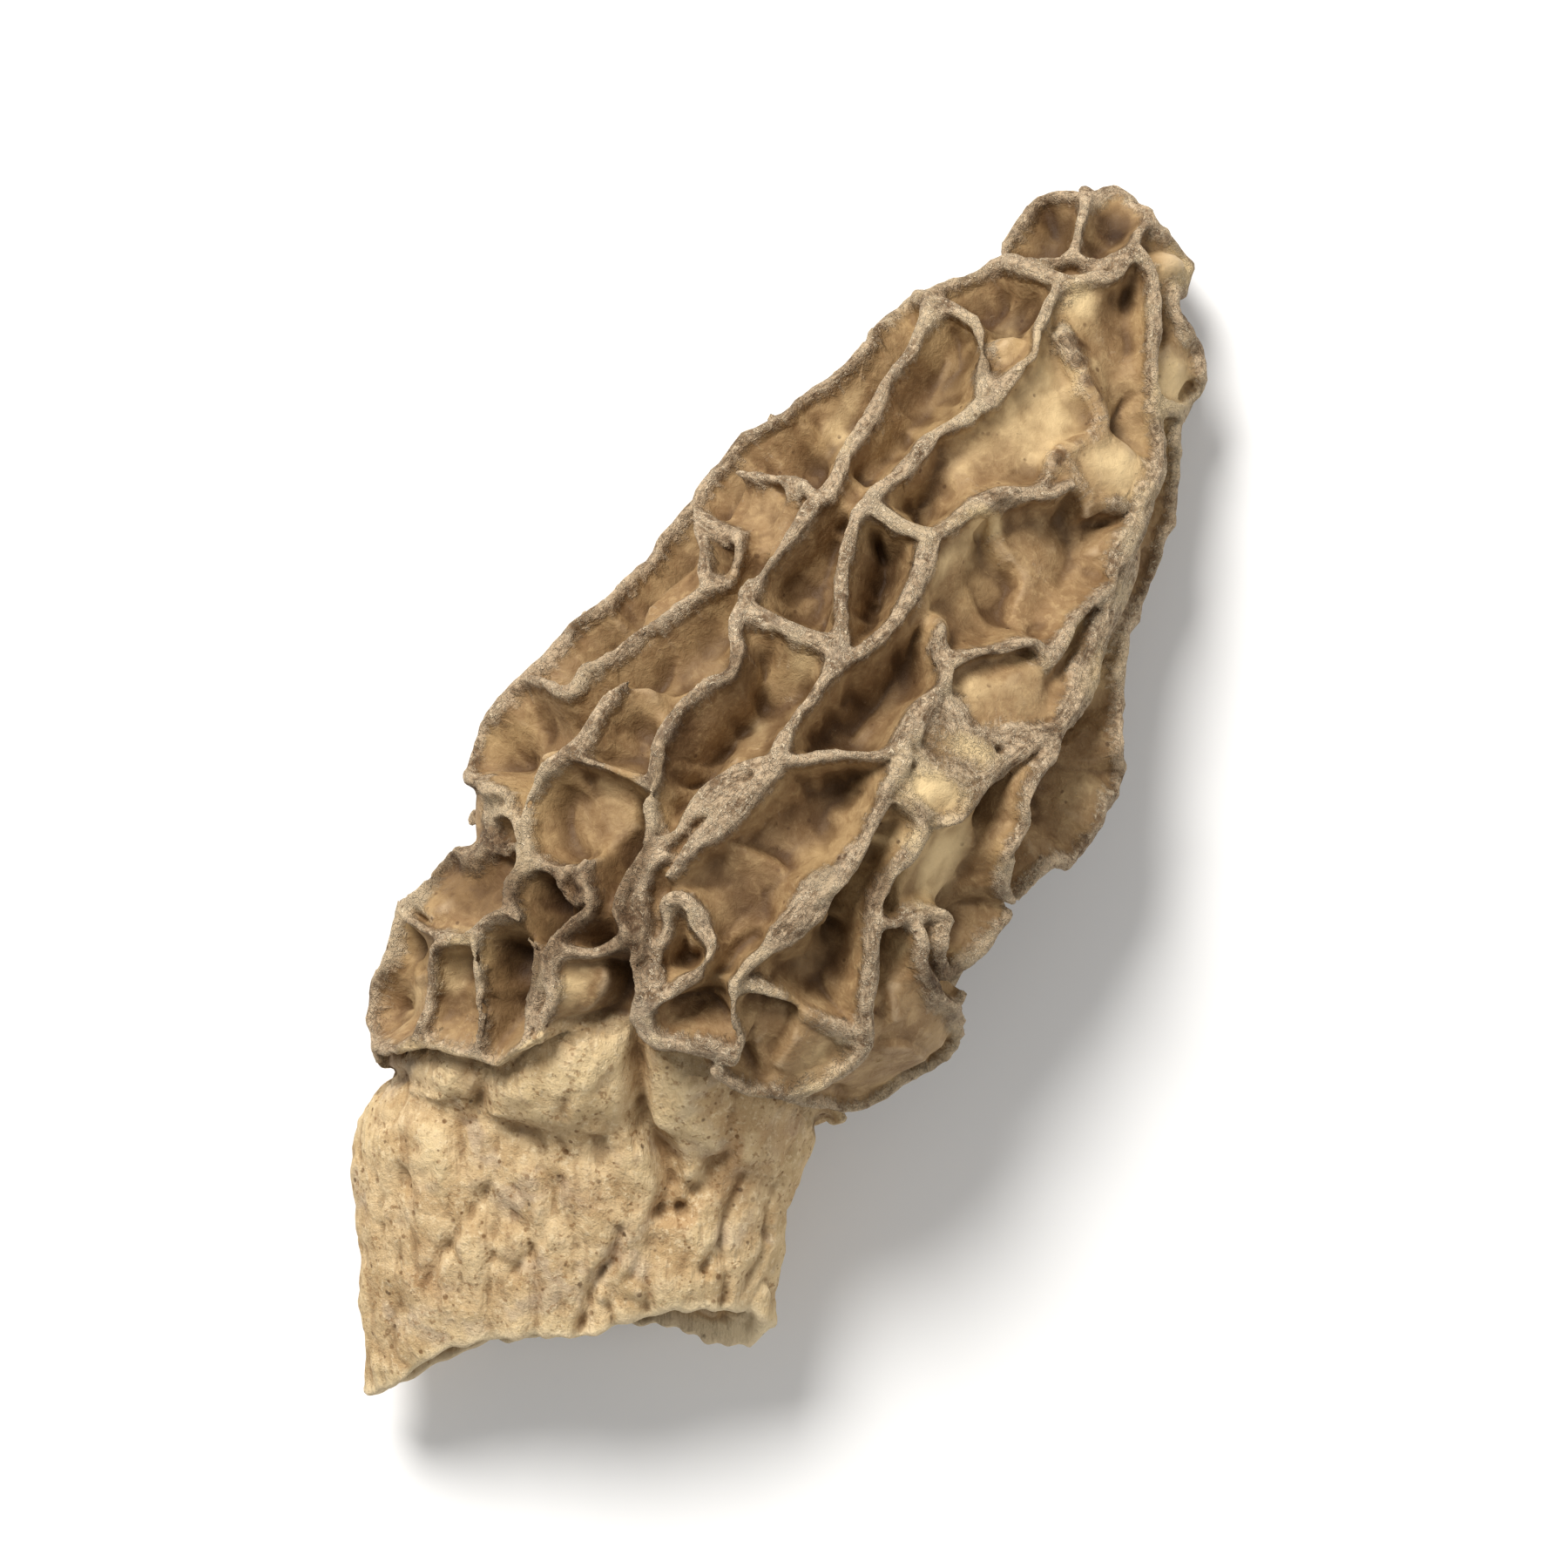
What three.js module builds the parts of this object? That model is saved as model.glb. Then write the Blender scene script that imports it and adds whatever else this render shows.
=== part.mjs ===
// A dried morel mushroom lying on its side: one hollow body, cap and stem grown together.
// Millimetres. +Z is up, the mushroom rests on z = 0, +Y runs from the stem to the tip of the cap.
// The surface is built from cross-section rows that run from the cut mouth of the stem to the tip.
// The cap carries long ridges from its margin to its tip, joined by short cross ribs, with pits between.
import * as THREE from "three";

const WALL = 1.3; // flesh between the hollow and a pit floor, or the outside of the stem
const PIT_DEPTH = 4.2; // from a ridge crest to a pit floor, on the upper side
const LOWER_PIT_DEPTH = 3.3; // the same on the underside, which dried flatter
const PIT_SHARE = 0.42; // a pit takes at most this share of the local radius
const RIB_DROP = 0.9; // a cross rib stands this much lower than the ridges
const RIB_HALF = 1.1; // half width of a cross rib at its foot
const STEM_RIPPLE = 0.3; // height of the folds along the stem
const MARGIN_ROW = 5.9; // the row where the cap's margin meets the stem
const LAST_ROW = 27;
const HOLLOW_END_ROW = 24.6;
const CREST_TO_CREST = 4; // columns from one ridge to the next
const ORIGIN_SHIFT = [1.7, 2.6]; // from the rows' own axis to the middle of the footprint
const PRESSED = 0.6; // how much of the underside was pressed flat as it dried

// Left end x, y, z and right end x, y, z of each row's middle line, then its depth below and height above that line.
const ROWS = [
  [-8.3, -41.4, 5.4, 10.0, -28.4, 8.3, 3.8, 4.6],
  [-10.0, -38.0, 5.9, 9.6, -27.2, 8.5, 4.2, 5.2],
  [-12.4, -33.0, 6.6, 9.0, -25.6, 8.6, 4.8, 5.8],
  [-14.9, -28.4, 7.3, 8.7, -23.4, 8.6, 5.5, 6.5],
  [-14.6, -25.8, 7.6, 8.4, -21.2, 8.6, 6.0, 7.0],
  [-14.2, -24.6, 8.0, 8.2, -18.6, 9.0, 6.4, 7.4],
  [-15.4, -24.6, 8.2, 8.6, -17.0, 9.2, 7.4, 9.4],
  [-17.2, -22.0, 8.6, 10.2, -15.2, 9.6, 9.0, 11.8],
  [-18.0, -18.4, 9.2, 11.8, -12.6, 10.2, 10.6, 12.8],
  [-18.1, -15.6, 9.8, 12.9, -10.4, 10.6, 11.4, 13.0],
  [-16.6, -12.0, 10.4, 12.6, -7.6, 11.0, 12.0, 12.6],
  [-17.8, -8.2, 11.0, 12.6, -4.6, 11.0, 12.0, 12.4],
  [-18.0, -4.6, 11.0, 13.0, -1.4, 11.0, 12.0, 12.0],
  [-16.9, -0.6, 10.8, 14.3, 1.6, 10.8, 11.8, 11.6],
  [-15.6, 3.0, 10.2, 14.8, 5.0, 10.2, 11.2, 11.0],
  [-14.0, 7.0, 9.4, 14.4, 8.0, 9.4, 10.4, 10.4],
  [-13.2, 11.0, 8.6, 12.8, 11.4, 8.6, 9.6, 9.7],
  [-12.4, 14.4, 7.9, 11.9, 14.8, 7.9, 8.9, 9.1],
  [-10.9, 17.6, 7.3, 11.7, 18.0, 7.3, 8.3, 8.4],
  [-9.2, 20.6, 6.8, 11.2, 21.0, 6.8, 7.6, 7.8],
  [-8.2, 23.4, 6.4, 10.2, 23.8, 6.4, 7.1, 7.1],
  [-7.0, 26.0, 6.0, 9.6, 26.2, 6.0, 6.6, 6.5],
  [-5.0, 28.4, 5.7, 9.7, 28.4, 5.7, 6.1, 5.9],
  [-4.1, 30.6, 5.4, 8.2, 30.6, 5.4, 5.6, 5.3],
  [-3.8, 32.4, 5.2, 6.9, 32.4, 5.2, 5.0, 4.8],
  [-2.9, 34.0, 5.0, 6.4, 34.0, 5.0, 4.0, 4.0],
  [-1.2, 35.3, 4.9, 4.2, 35.2, 4.9, 2.6, 2.7],
  [0.9, 36.2, 4.9, 0.9, 36.2, 4.9, 0.0, 0.0],
];

// The long ridges of the upper side, as x, y points from the margin to the tip, right to left.
const UPPER_RIDGES = [
  [[6.2, -16.2], [8.1, -12.0], [6.8, -9.0], [5.6, -5.0], [6.2, -1.0], [7.6, 1.5], [8.8, 5.0], [10.2, 9.0], [10.2, 12.5], [9.6, 16.0], [9.7, 21.0], [8.6, 25.0], [6.4, 28.0], [5.0, 31.5], [3.4, 34.4]],
  [[1.9, -15.6], [0.4, -12.0], [1.0, -9.6], [3.0, -5.0], [3.3, 0.0], [3.4, 5.0], [4.2, 8.4], [5.5, 12.0], [5.8, 14.4], [4.6, 18.4], [5.2, 21.0], [6.2, 23.2], [5.2, 27.0], [2.9, 32.6], [2.0, 34.6]],
  [[-3.4, -16.0], [-2.6, -13.4], [-4.4, -9.4], [-5.2, -6.6], [-4.2, -3.0], [-3.3, 0.0], [-2.6, 4.0], [-3.4, 8.6], [-4.4, 12.0], [-4.1, 15.0], [-3.2, 18.0], [-1.8, 20.6], [-0.2, 23.8], [0.1, 28.0], [-0.4, 31.5], [0.2, 34.6]],
  [[-7.8, -18.0], [-9.2, -14.0], [-7.4, -9.5], [-7.6, -6.0], [-8.8, -1.5], [-7.2, 3.0], [-8.0, 6.3], [-7.8, 9.0], [-6.6, 13.0], [-6.3, 18.0], [-5.9, 23.0], [-4.8, 26.4], [-2.6, 30.0], [-1.4, 34.2]],
  [[-13.8, -22.4], [-13.2, -16.0], [-13.0, -11.0], [-14.1, -6.5], [-12.6, -3.4], [-13.4, 0.6], [-11.8, 3.6], [-10.4, 6.2], [-11.0, 9.0], [-10.8, 12.6], [-9.6, 16.0], [-8.2, 19.6], [-7.2, 23.0], [-5.0, 27.4], [-3.6, 31.0], [-2.2, 33.8]],
];
// The ridges at the left edge and of the underside, as the angle round the section at the margin, the middle and the tip.
const LOWER_RIDGES = [
  [180, 178, 180],
  [206, 202, 208],
  [232, 236, 232],
  [262, 256, 264],
  [290, 294, 290],
  [322, 316, 324],
  [362, 364, 358],
];
// Where the cross ribs stand in each channel between two ridges, as rows, right to left over the top and then underneath.
const RIBS = [
  [8.2, 11.4, 13.4, 16.1, 21.2, 23.9],
  [8.6, 10.8, 12.6, 14.2, 15.8, 18.6, 21.0],
  [6.6, 10.9, 12.9, 16.7, 20.3, 23.0],
  [7.8, 9.9, 14.8, 17.4, 20.9, 22.8],
  [6.8, 9.6, 11.9, 14.8, 17.2, 19.6, 22.4],
  [6.4, 8.6, 10.9, 12.4, 16.0, 19.2, 22.0],
  [6.6, 9.4, 12.0, 14.2, 17.0, 20.4, 23.0],
  [7.4, 9.0, 11.2, 13.6, 15.4, 18.4, 21.6],
  [6.6, 8.4, 10.8, 12.8, 16.2, 19.4, 22.4],
  [7.6, 9.8, 12.2, 14.6, 17.6, 20.2, 23.0],
  [6.6, 8.8, 11.4, 13.8, 16.6, 18.8, 21.8],
  [7.2, 9.6, 12.4, 15.0, 17.8, 20.8, 23.2],
];

const clamp = (v, lo, hi) => Math.min(hi, Math.max(lo, v));
const smooth = (v) => v * v * (3 - 2 * v);

// A row at any place t between the listed ones, on a Catmull-Rom curve.
function row(t) {
  const i = Math.min(Math.floor(t), LAST_ROW - 1),
    f = t - i,
    p = [i - 1, i, i + 1, i + 2].map((k) => ROWS[clamp(k, 0, LAST_ROW)]);
  return p[0].map(
    (_, c) =>
      p[1][c] +
      0.5 *
        f *
        (p[2][c] -
          p[0][c] +
          f *
            (2 * p[0][c] - 5 * p[1][c] + 4 * p[2][c] - p[3][c] +
              f * (3 * (p[1][c] - p[2][c]) + p[3][c] - p[0][c]))),
  );
}

// The cut mouth is arched, and its lower lip reaches further than its upper one.
function mouthShift(t, phi) {
  const near = smooth(clamp(1 - t / 4, 0, 1)),
    s = Math.sin(phi);
  return near * (2.3 * s * s + (s > 0 ? 0.9 : -0.5) * Math.abs(s));
}

// A point of the body, at an angle round its section and a depth below its outer envelope.
function place(t, phi, depth) {
  const [xl, yl, zl, xr, yr, zr, below, above] = row(t),
    c = Math.cos(phi),
    s = Math.sin(phi),
    a = (xr - xl) / 2,
    b = s > 0 ? above : below,
    reach = Math.hypot(a * c, b * s),
    k = reach > 1e-6 ? 1 - depth / reach : 0,
    side = 0.5 + 0.5 * c * k;
  return [
    xl + (xr - xl) * side,
    yl + (yr - yl) * side + mouthShift(t, phi),
    zl + (zr - zl) * side + b * s * k,
  ];
}

function reachAt(t, phi) {
  const r = row(t),
    b = Math.sin(phi) > 0 ? r[7] : r[6];
  return Math.hypot(((r[3] - r[0]) / 2) * Math.cos(phi), b * Math.sin(phi));
}

// The row through x, y, and the angle of that point on the upper side.
function rowThrough(x, y) {
  let lo = 0,
    hi = LAST_ROW - 0.01;
  for (let n = 0; n < 40; n++) {
    const mid = (lo + hi) / 2,
      r = row(mid),
      at = r[1] + ((r[4] - r[1]) * (x - r[0])) / Math.max(r[3] - r[0], 1e-3);
    if (at < y) lo = mid;
    else hi = mid;
  }
  const r = row(lo);
  return [lo, Math.acos(clamp((2 * x - r[0] - r[3]) / (r[3] - r[0]), -1, 1))];
}

// Each ridge becomes an angle for every row.
const lines = UPPER_RIDGES.map((points) => {
  const known = points.map(([x, y]) => rowThrough(x, y)).sort((p, q) => p[0] - q[0]);
  return (t) => {
    if (t <= known[0][0]) return known[0][1];
    for (let i = 1; i < known.length; i++)
      if (t <= known[i][0]) {
        const f = (t - known[i - 1][0]) / (known[i][0] - known[i - 1][0]);
        return known[i - 1][1] + f * (known[i][1] - known[i - 1][1]);
      }
    return known[known.length - 1][1];
  };
});
LOWER_RIDGES.forEach(([margin, middle, tip], k) =>
  lines.push((t) => {
    const f = clamp((t - MARGIN_ROW) / (LAST_ROW - MARGIN_ROW), 0, 1),
      deg = f < 0.5 ? margin + (middle - margin) * f * 2 : middle + (tip - middle) * (f * 2 - 1);
    return ((deg + 2.5 * Math.sin(t * 1.1 + k * 2.3)) * Math.PI) / 180;
  }),
);
const N = lines.length; // ridges all round
const COLUMNS = N * CREST_TO_CREST;
// Right to left over the top, then left to right underneath, and back to the first.
const ridgeAngle = (k, t) => lines[k % N](t) + (k >= N ? 2 * Math.PI : 0);
const evenAngle = (k) => 0.35 + (k * 2 * Math.PI) / N;

// The angle of a column: even round the mouth, on the ridges over the cap.
const ACROSS = [0, 0.24, 0.5, 0.76];
function angle(t, column) {
  const k = Math.floor(column / CREST_TO_CREST),
    u = ACROSS[column % CREST_TO_CREST],
    cap = smooth(clamp((t - 1.5) / (MARGIN_ROW - 1.5), 0, 1)),
    ridge = ridgeAngle(k, t) * (1 - u) + ridgeAngle(k + 1, t) * u,
    even = evenAngle(k) * (1 - u) + evenAngle(k + 1) * u;
  return even + (ridge - even) * cap;
}

function wholePit(t, phi) {
  const under = smooth(clamp(0.5 - 1.5 * Math.sin(phi), 0, 1));
  return Math.min(PIT_DEPTH + (LOWER_PIT_DEPTH - PIT_DEPTH) * under, PIT_SHARE * reachAt(t, phi));
}

// Pits start above the margin and fade out at the tip.
function pit(t, phi) {
  const grown = smooth(clamp((t - MARGIN_ROW - 0.2) / 0.8, 0, 1)) * smooth(clamp((26.2 - t) / 2.2, 0, 1));
  return grown * wholePit(t, phi);
}

// How far a point of the outside lies below the envelope.
function depthAt(t, column) {
  const k = Math.floor(column / CREST_TO_CREST),
    u = ACROSS[column % CREST_TO_CREST],
    phi = angle(t, column);
  if (t < MARGIN_ROW)
    return STEM_RIPPLE * (0.5 + 0.5 * Math.cos(column * 2.1)) * smooth(clamp(t / 2, 0, 1));
  const floor = pit(t, phi),
    bowl = u === 0 ? 0 : u === 0.5 ? 1 : 0.86,
    step = 1.35, // a row is about this long in the cap's middle
    nearest = Math.min(...RIBS[k % RIBS.length].map((r) => Math.abs(t - r))) * step * 2.2,
    rib = smooth(clamp(1 - nearest / RIB_HALF / 1.6, 0, 1));
  return floor * bowl * (1 - rib) + Math.min(floor, RIB_DROP) * rib * (u === 0 ? 0 : 1);
}

// Rows of the outside: close over the cap, wide apart down the stem.
const outerRows = [];
for (let t = 0; t < MARGIN_ROW - 0.2; t += 0.72) outerRows.push(t);
for (let i = 0; i <= 46; i++) outerRows.push(MARGIN_ROW + ((26.7 - MARGIN_ROW) * i) / 46);
const innerRows = [];
for (let i = 0; i <= 17; i++) innerRows.push((HOLLOW_END_ROW * i) / 17);

const positions = [],
  index = [];
const add = ([x, y, z]) => positions.push(x, y, Math.max(z - PRESSED, 0)) / 3 - 1;
const quad = (a, b, c, d) => index.push(a, b, c, a, c, d);

const outer = outerRows.map((t) =>
  Array.from({ length: COLUMNS }, (_, j) => add(place(t, angle(t, j), depthAt(t, j)))),
);
const tip = add(place(LAST_ROW, 0, 0));
const HALF = COLUMNS / 2;
const inner = innerRows.map((t, i) =>
  Array.from({ length: HALF }, (_, j) => {
    const phi = angle(t, 2 * j),
      cap = smooth(clamp((t - 5) / 1.6, 0, 1)),
      close = i / (innerRows.length - 1) > 0.9 ? 0.6 : 0;
    return add(place(t, phi, Math.min(WALL + wholePit(t, phi) * cap + close, 0.86 * reachAt(t, phi))));
  }),
);
const hollowEnd = add(place(HOLLOW_END_ROW + 0.5, 0, reachAt(HOLLOW_END_ROW + 0.5, 0)));

for (let i = 0; i + 1 < outer.length; i++)
  for (let j = 0; j < COLUMNS; j++) {
    const n = (j + 1) % COLUMNS;
    quad(outer[i][j], outer[i + 1][j], outer[i + 1][n], outer[i][n]);
  }
const lastOuter = outer[outer.length - 1];
for (let j = 0; j < COLUMNS; j++) index.push(lastOuter[j], tip, lastOuter[(j + 1) % COLUMNS]);
for (let i = 0; i + 1 < inner.length; i++)
  for (let j = 0; j < HALF; j++) {
    const n = (j + 1) % HALF;
    quad(inner[i][j], inner[i][n], inner[i + 1][n], inner[i + 1][j]);
  }
const lastInner = inner[inner.length - 1];
for (let j = 0; j < HALF; j++) index.push(lastInner[j], lastInner[(j + 1) % HALF], hollowEnd);
// The cut face round the mouth.
for (let j = 0; j < HALF; j++) {
  const n = (j + 1) % HALF,
    o0 = outer[0][2 * j],
    o1 = outer[0][2 * j + 1],
    o2 = outer[0][(2 * j + 2) % COLUMNS];
  index.push(o0, o1, inner[0][j], o1, inner[0][n], inner[0][j], o1, o2, inner[0][n]);
}

const geometry = new THREE.BufferGeometry();
geometry.setAttribute("position", new THREE.Float32BufferAttribute(positions, 3));
geometry.setIndex(index);
// The origin is the middle of the bounding box, on the surface that the mushroom rests on.
geometry.translate(...ORIGIN_SHIFT, 0);
geometry.computeVertexNormals();

const flesh = new THREE.MeshStandardMaterial({
  color: new THREE.Color(0.55, 0.44, 0.31),
  roughness: 0.75,
  metalness: 0,
});
const morel = new THREE.Mesh(geometry, flesh);
morel.name = "morel";

const group = new THREE.Group();
group.add(morel);
export default group;
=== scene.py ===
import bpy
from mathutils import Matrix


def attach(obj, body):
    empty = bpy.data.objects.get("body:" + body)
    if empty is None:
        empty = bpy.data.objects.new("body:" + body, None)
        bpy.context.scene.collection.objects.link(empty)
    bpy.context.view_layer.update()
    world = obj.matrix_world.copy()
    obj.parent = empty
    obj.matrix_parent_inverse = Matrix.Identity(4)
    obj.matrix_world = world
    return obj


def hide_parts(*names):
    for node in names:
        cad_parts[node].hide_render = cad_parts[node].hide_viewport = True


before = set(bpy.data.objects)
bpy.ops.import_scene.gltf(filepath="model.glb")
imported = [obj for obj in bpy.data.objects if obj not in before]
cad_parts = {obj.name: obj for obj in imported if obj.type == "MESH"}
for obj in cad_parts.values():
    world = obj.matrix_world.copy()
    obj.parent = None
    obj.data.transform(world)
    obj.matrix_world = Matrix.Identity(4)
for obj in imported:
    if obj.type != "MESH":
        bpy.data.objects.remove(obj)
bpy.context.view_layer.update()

import math

import bmesh
import bpy
import numpy as np
from mathutils import Matrix, Vector
from mathutils.bvhtree import BVHTree

VOXEL = 0.175  # mm
FACES = 190000
SHIFT = (1.7, 2.6, -0.6)  # from the rows' axis (mm) to the part's frame

# ---------------------------------------------------------------- envelope
# Left end x, y, z and right end x, y, z of each section's middle line, then its depth below and height above it. Millimetres.
ROWS = np.array([
    [-8.3, -41.4, 5.4, 10.0, -28.4, 8.3, 3.8, 4.6],
    [-10.0, -38.0, 5.9, 9.6, -27.2, 8.5, 4.2, 5.2],
    [-12.4, -33.0, 6.6, 9.0, -25.6, 8.6, 4.8, 5.8],
    [-14.9, -28.4, 7.3, 8.7, -23.4, 8.6, 5.5, 6.5],
    [-14.6, -25.8, 7.6, 8.4, -21.2, 8.6, 6.0, 7.0],
    [-14.2, -24.6, 8.0, 8.2, -18.6, 9.0, 6.4, 7.4],
    [-15.4, -24.6, 8.2, 8.6, -17.0, 9.2, 7.4, 9.4],
    [-17.2, -22.0, 8.6, 10.2, -15.2, 9.6, 9.0, 11.8],
    [-18.0, -18.4, 9.2, 11.8, -12.6, 10.2, 10.6, 12.8],
    [-18.1, -15.6, 9.8, 12.9, -10.4, 10.6, 11.4, 13.0],
    [-16.6, -12.0, 10.4, 12.6, -7.6, 11.0, 12.0, 12.6],
    [-17.8, -8.2, 11.0, 12.6, -4.6, 11.0, 12.0, 12.4],
    [-18.0, -4.6, 11.0, 13.0, -1.4, 11.0, 12.0, 12.0],
    [-16.9, -0.6, 10.8, 14.3, 1.6, 10.8, 11.8, 11.6],
    [-15.6, 3.0, 10.2, 14.8, 5.0, 10.2, 11.2, 11.0],
    [-14.0, 7.0, 9.4, 14.4, 8.0, 9.4, 10.4, 10.4],
    [-13.2, 11.0, 8.6, 12.8, 11.4, 8.6, 9.6, 9.7],
    [-12.4, 14.4, 7.9, 11.9, 14.8, 7.9, 8.9, 9.1],
    [-10.9, 17.6, 7.3, 11.7, 18.0, 7.3, 8.3, 8.4],
    [-9.2, 20.6, 6.8, 11.2, 21.0, 6.8, 7.6, 7.8],
    [-8.2, 23.4, 6.4, 10.2, 23.8, 6.4, 7.1, 7.1],
    [-7.0, 26.0, 6.0, 9.6, 26.2, 6.0, 6.6, 6.5],
    [-5.0, 28.4, 5.7, 9.7, 28.4, 5.7, 6.1, 5.9],
    [-4.1, 30.6, 5.4, 8.2, 30.6, 5.4, 5.6, 5.3],
    [-3.8, 32.4, 5.2, 6.9, 32.4, 5.2, 5.0, 4.8],
    [-2.9, 34.0, 5.0, 6.4, 34.0, 5.0, 4.0, 4.0],
    [-1.2, 35.3, 4.9, 4.2, 35.2, 4.9, 2.6, 2.7],
    [0.9, 36.2, 4.9, 0.9, 36.2, 4.9, 0.0, 0.0],
])
LAST = 27
T0 = -1.2  # the rows run on past the mouth, where the stem is cut off


def smooth(v):
    v = np.clip(v, 0.0, 1.0)
    return v * v * (3 - 2 * v)


def rows(t):
    t = np.asarray(t, float)
    tc = np.clip(t, 0, LAST)
    i = np.minimum(np.floor(tc).astype(int), LAST - 1)
    f = (tc - i)[..., None]
    p0, p1, p2, p3 = (ROWS[np.clip(i + k, 0, LAST)] for k in (-1, 0, 1, 2))
    r = p1 + 0.5 * f * (p2 - p0 + f * (2 * p0 - 5 * p1 + 4 * p2 - p3 + f * (3 * (p1 - p2) + p3 - p0)))
    return r + np.minimum(t, 0)[..., None] * (ROWS[1] - ROWS[0]) * 0.9


STEP = 0.01
TT = np.arange(T0, LAST + 1e-6, STEP)
TABLE = rows(TT)


def table(t):
    q = np.clip((t - T0) / STEP, 0, len(TT) - 1.001)
    i = q.astype(int)
    f = (q - i)[..., None]
    return TABLE[i] * (1 - f) + TABLE[i + 1] * f


def surface(t, phi, depth=0.0):
    r = table(t)
    c, s = np.cos(phi), np.sin(phi)
    a = (r[..., 3] - r[..., 0]) / 2
    b = np.where(s > 0, r[..., 7], r[..., 6])
    reach = np.hypot(a * c, b * s)
    k = np.where(reach > 1e-6, 1 - depth / np.maximum(reach, 1e-6), 0)
    side = 0.5 + 0.5 * c * k
    return np.stack([
        r[..., 0] + (r[..., 3] - r[..., 0]) * side,
        r[..., 1] + (r[..., 4] - r[..., 1]) * side,
        r[..., 2] + (r[..., 5] - r[..., 2]) * side + b * s * k,
    ], -1)


def row_through(x, y):
    """The section whose middle line passes through x, y as seen from above."""
    x, y = np.broadcast_arrays(np.asarray(x, float), np.asarray(y, float))
    lo, hi = np.full(x.shape, T0), np.full(x.shape, float(LAST))
    for _ in range(16):
        mid = (lo + hi) / 2
        r = table(mid)
        u = np.clip((x - r[..., 0]) / np.maximum(r[..., 3] - r[..., 0], 0.3), -0.25, 1.25)
        below = r[..., 1] + (r[..., 4] - r[..., 1]) * u < y
        lo, hi = np.where(below, mid, lo), np.where(below, hi, mid)
    return (lo + hi) / 2


def top_angle(x, t):
    r = table(t)
    return np.arccos(np.clip((2 * x - r[..., 0] - r[..., 3]) / np.maximum(r[..., 3] - r[..., 0], 1e-3), -1, 1))


# ---------------------------------------------------------------- noise
def lattice(i, j, k, seed):
    n = i * np.uint32(73856093) ^ j * np.uint32(19349663) ^ k * np.uint32(83492791) ^ np.uint32(seed * 7919 + 101)
    n = (n ^ (n >> np.uint32(13))) * np.uint32(1274126177)
    n = (n ^ (n >> np.uint32(16))) * np.uint32(2246822519)
    return ((n >> np.uint32(9)).astype(np.float32)) / np.float32(4194304.0) - np.float32(1)


def noise(p, size, seed=0):
    """Smooth value noise in -1..1 with features of the given size (mm), at points p."""
    q = np.asarray(p, np.float32) / np.float32(size) + np.float32(512.37)
    i = np.floor(q)
    f = q - i
    f = f * f * f * (f * (f * 6 - 15) + 10)
    i = i.astype(np.uint32)
    out = 0
    for dx in (0, 1):
        wx = f[..., 0] if dx else 1 - f[..., 0]
        for dy in (0, 1):
            wy = wx * (f[..., 1] if dy else 1 - f[..., 1])
            for dz in (0, 1):
                w = wy * (f[..., 2] if dz else 1 - f[..., 2])
                out = out + w * lattice(i[..., 0] + np.uint32(dx), i[..., 1] + np.uint32(dy), i[..., 2] + np.uint32(dz), seed)
    return out


def cloud(p, size, seed=0, octaves=3, rough=0.5):
    out, amp, total = 0, 1.0, 0.0
    for o in range(octaves):
        out = out + amp * noise(p, size / 2**o, seed + 17 * o)
        total += amp
        amp *= rough
    return out / total


# ---------------------------------------------------------------- unrolled map of the envelope
NP = 800
DS = 0.125  # mm between map rows
ring = np.linspace(0, 2 * np.pi, 73)[:-1]
stations = np.arange(T0, LAST + 1e-6, 0.05)
P = surface(stations[:, None], ring[None, :])
mean_step = np.linalg.norm(P[1:] - P[:-1], axis=2).mean(1)
arc = np.concatenate([[0], np.cumsum(mean_step)])
NS = int(arc[-1] / DS) + 1
S_OF_T = lambda t: np.interp(t, stations, arc)
T_OF_S = lambda s: np.interp(s, arc, stations)
MAP_T = T_OF_S(np.arange(NS) * DS)
MAP_PHI = np.arange(NP) * 2 * np.pi / NP
MT, MPHI = np.meshgrid(MAP_T, MAP_PHI, indexing="ij")
MP = surface(MT, MPHI).astype(np.float32)
ROUND = np.linalg.norm(np.diff(np.concatenate([MP, MP[:, :1]], 1), axis=1), axis=2).sum(1)  # girth of each map row
GIRTH = np.maximum(ROUND, 1.0)


def blur(m, size):
    """Gaussian blur of a map, size in mm."""
    k = np.arange(NP // 2 + 1)[None, :]
    sig = (size / (GIRTH / NP))[:, None]
    m = np.fft.irfft(np.fft.rfft(m, axis=1) * np.exp(-0.5 * (2 * np.pi * k * sig / NP) ** 2), NP, axis=1)
    r = int(3 * size / DS) + 1
    w = np.exp(-0.5 * (np.arange(-r, r + 1) * DS / size) ** 2)
    w /= w.sum()
    padded = np.concatenate([np.repeat(m[:1], r, 0), m, np.repeat(m[-1:], r, 0)], 0)
    out = sum(w[i] * padded[i:i + NS] for i in range(2 * r + 1))
    return out.astype(np.float32)


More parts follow.
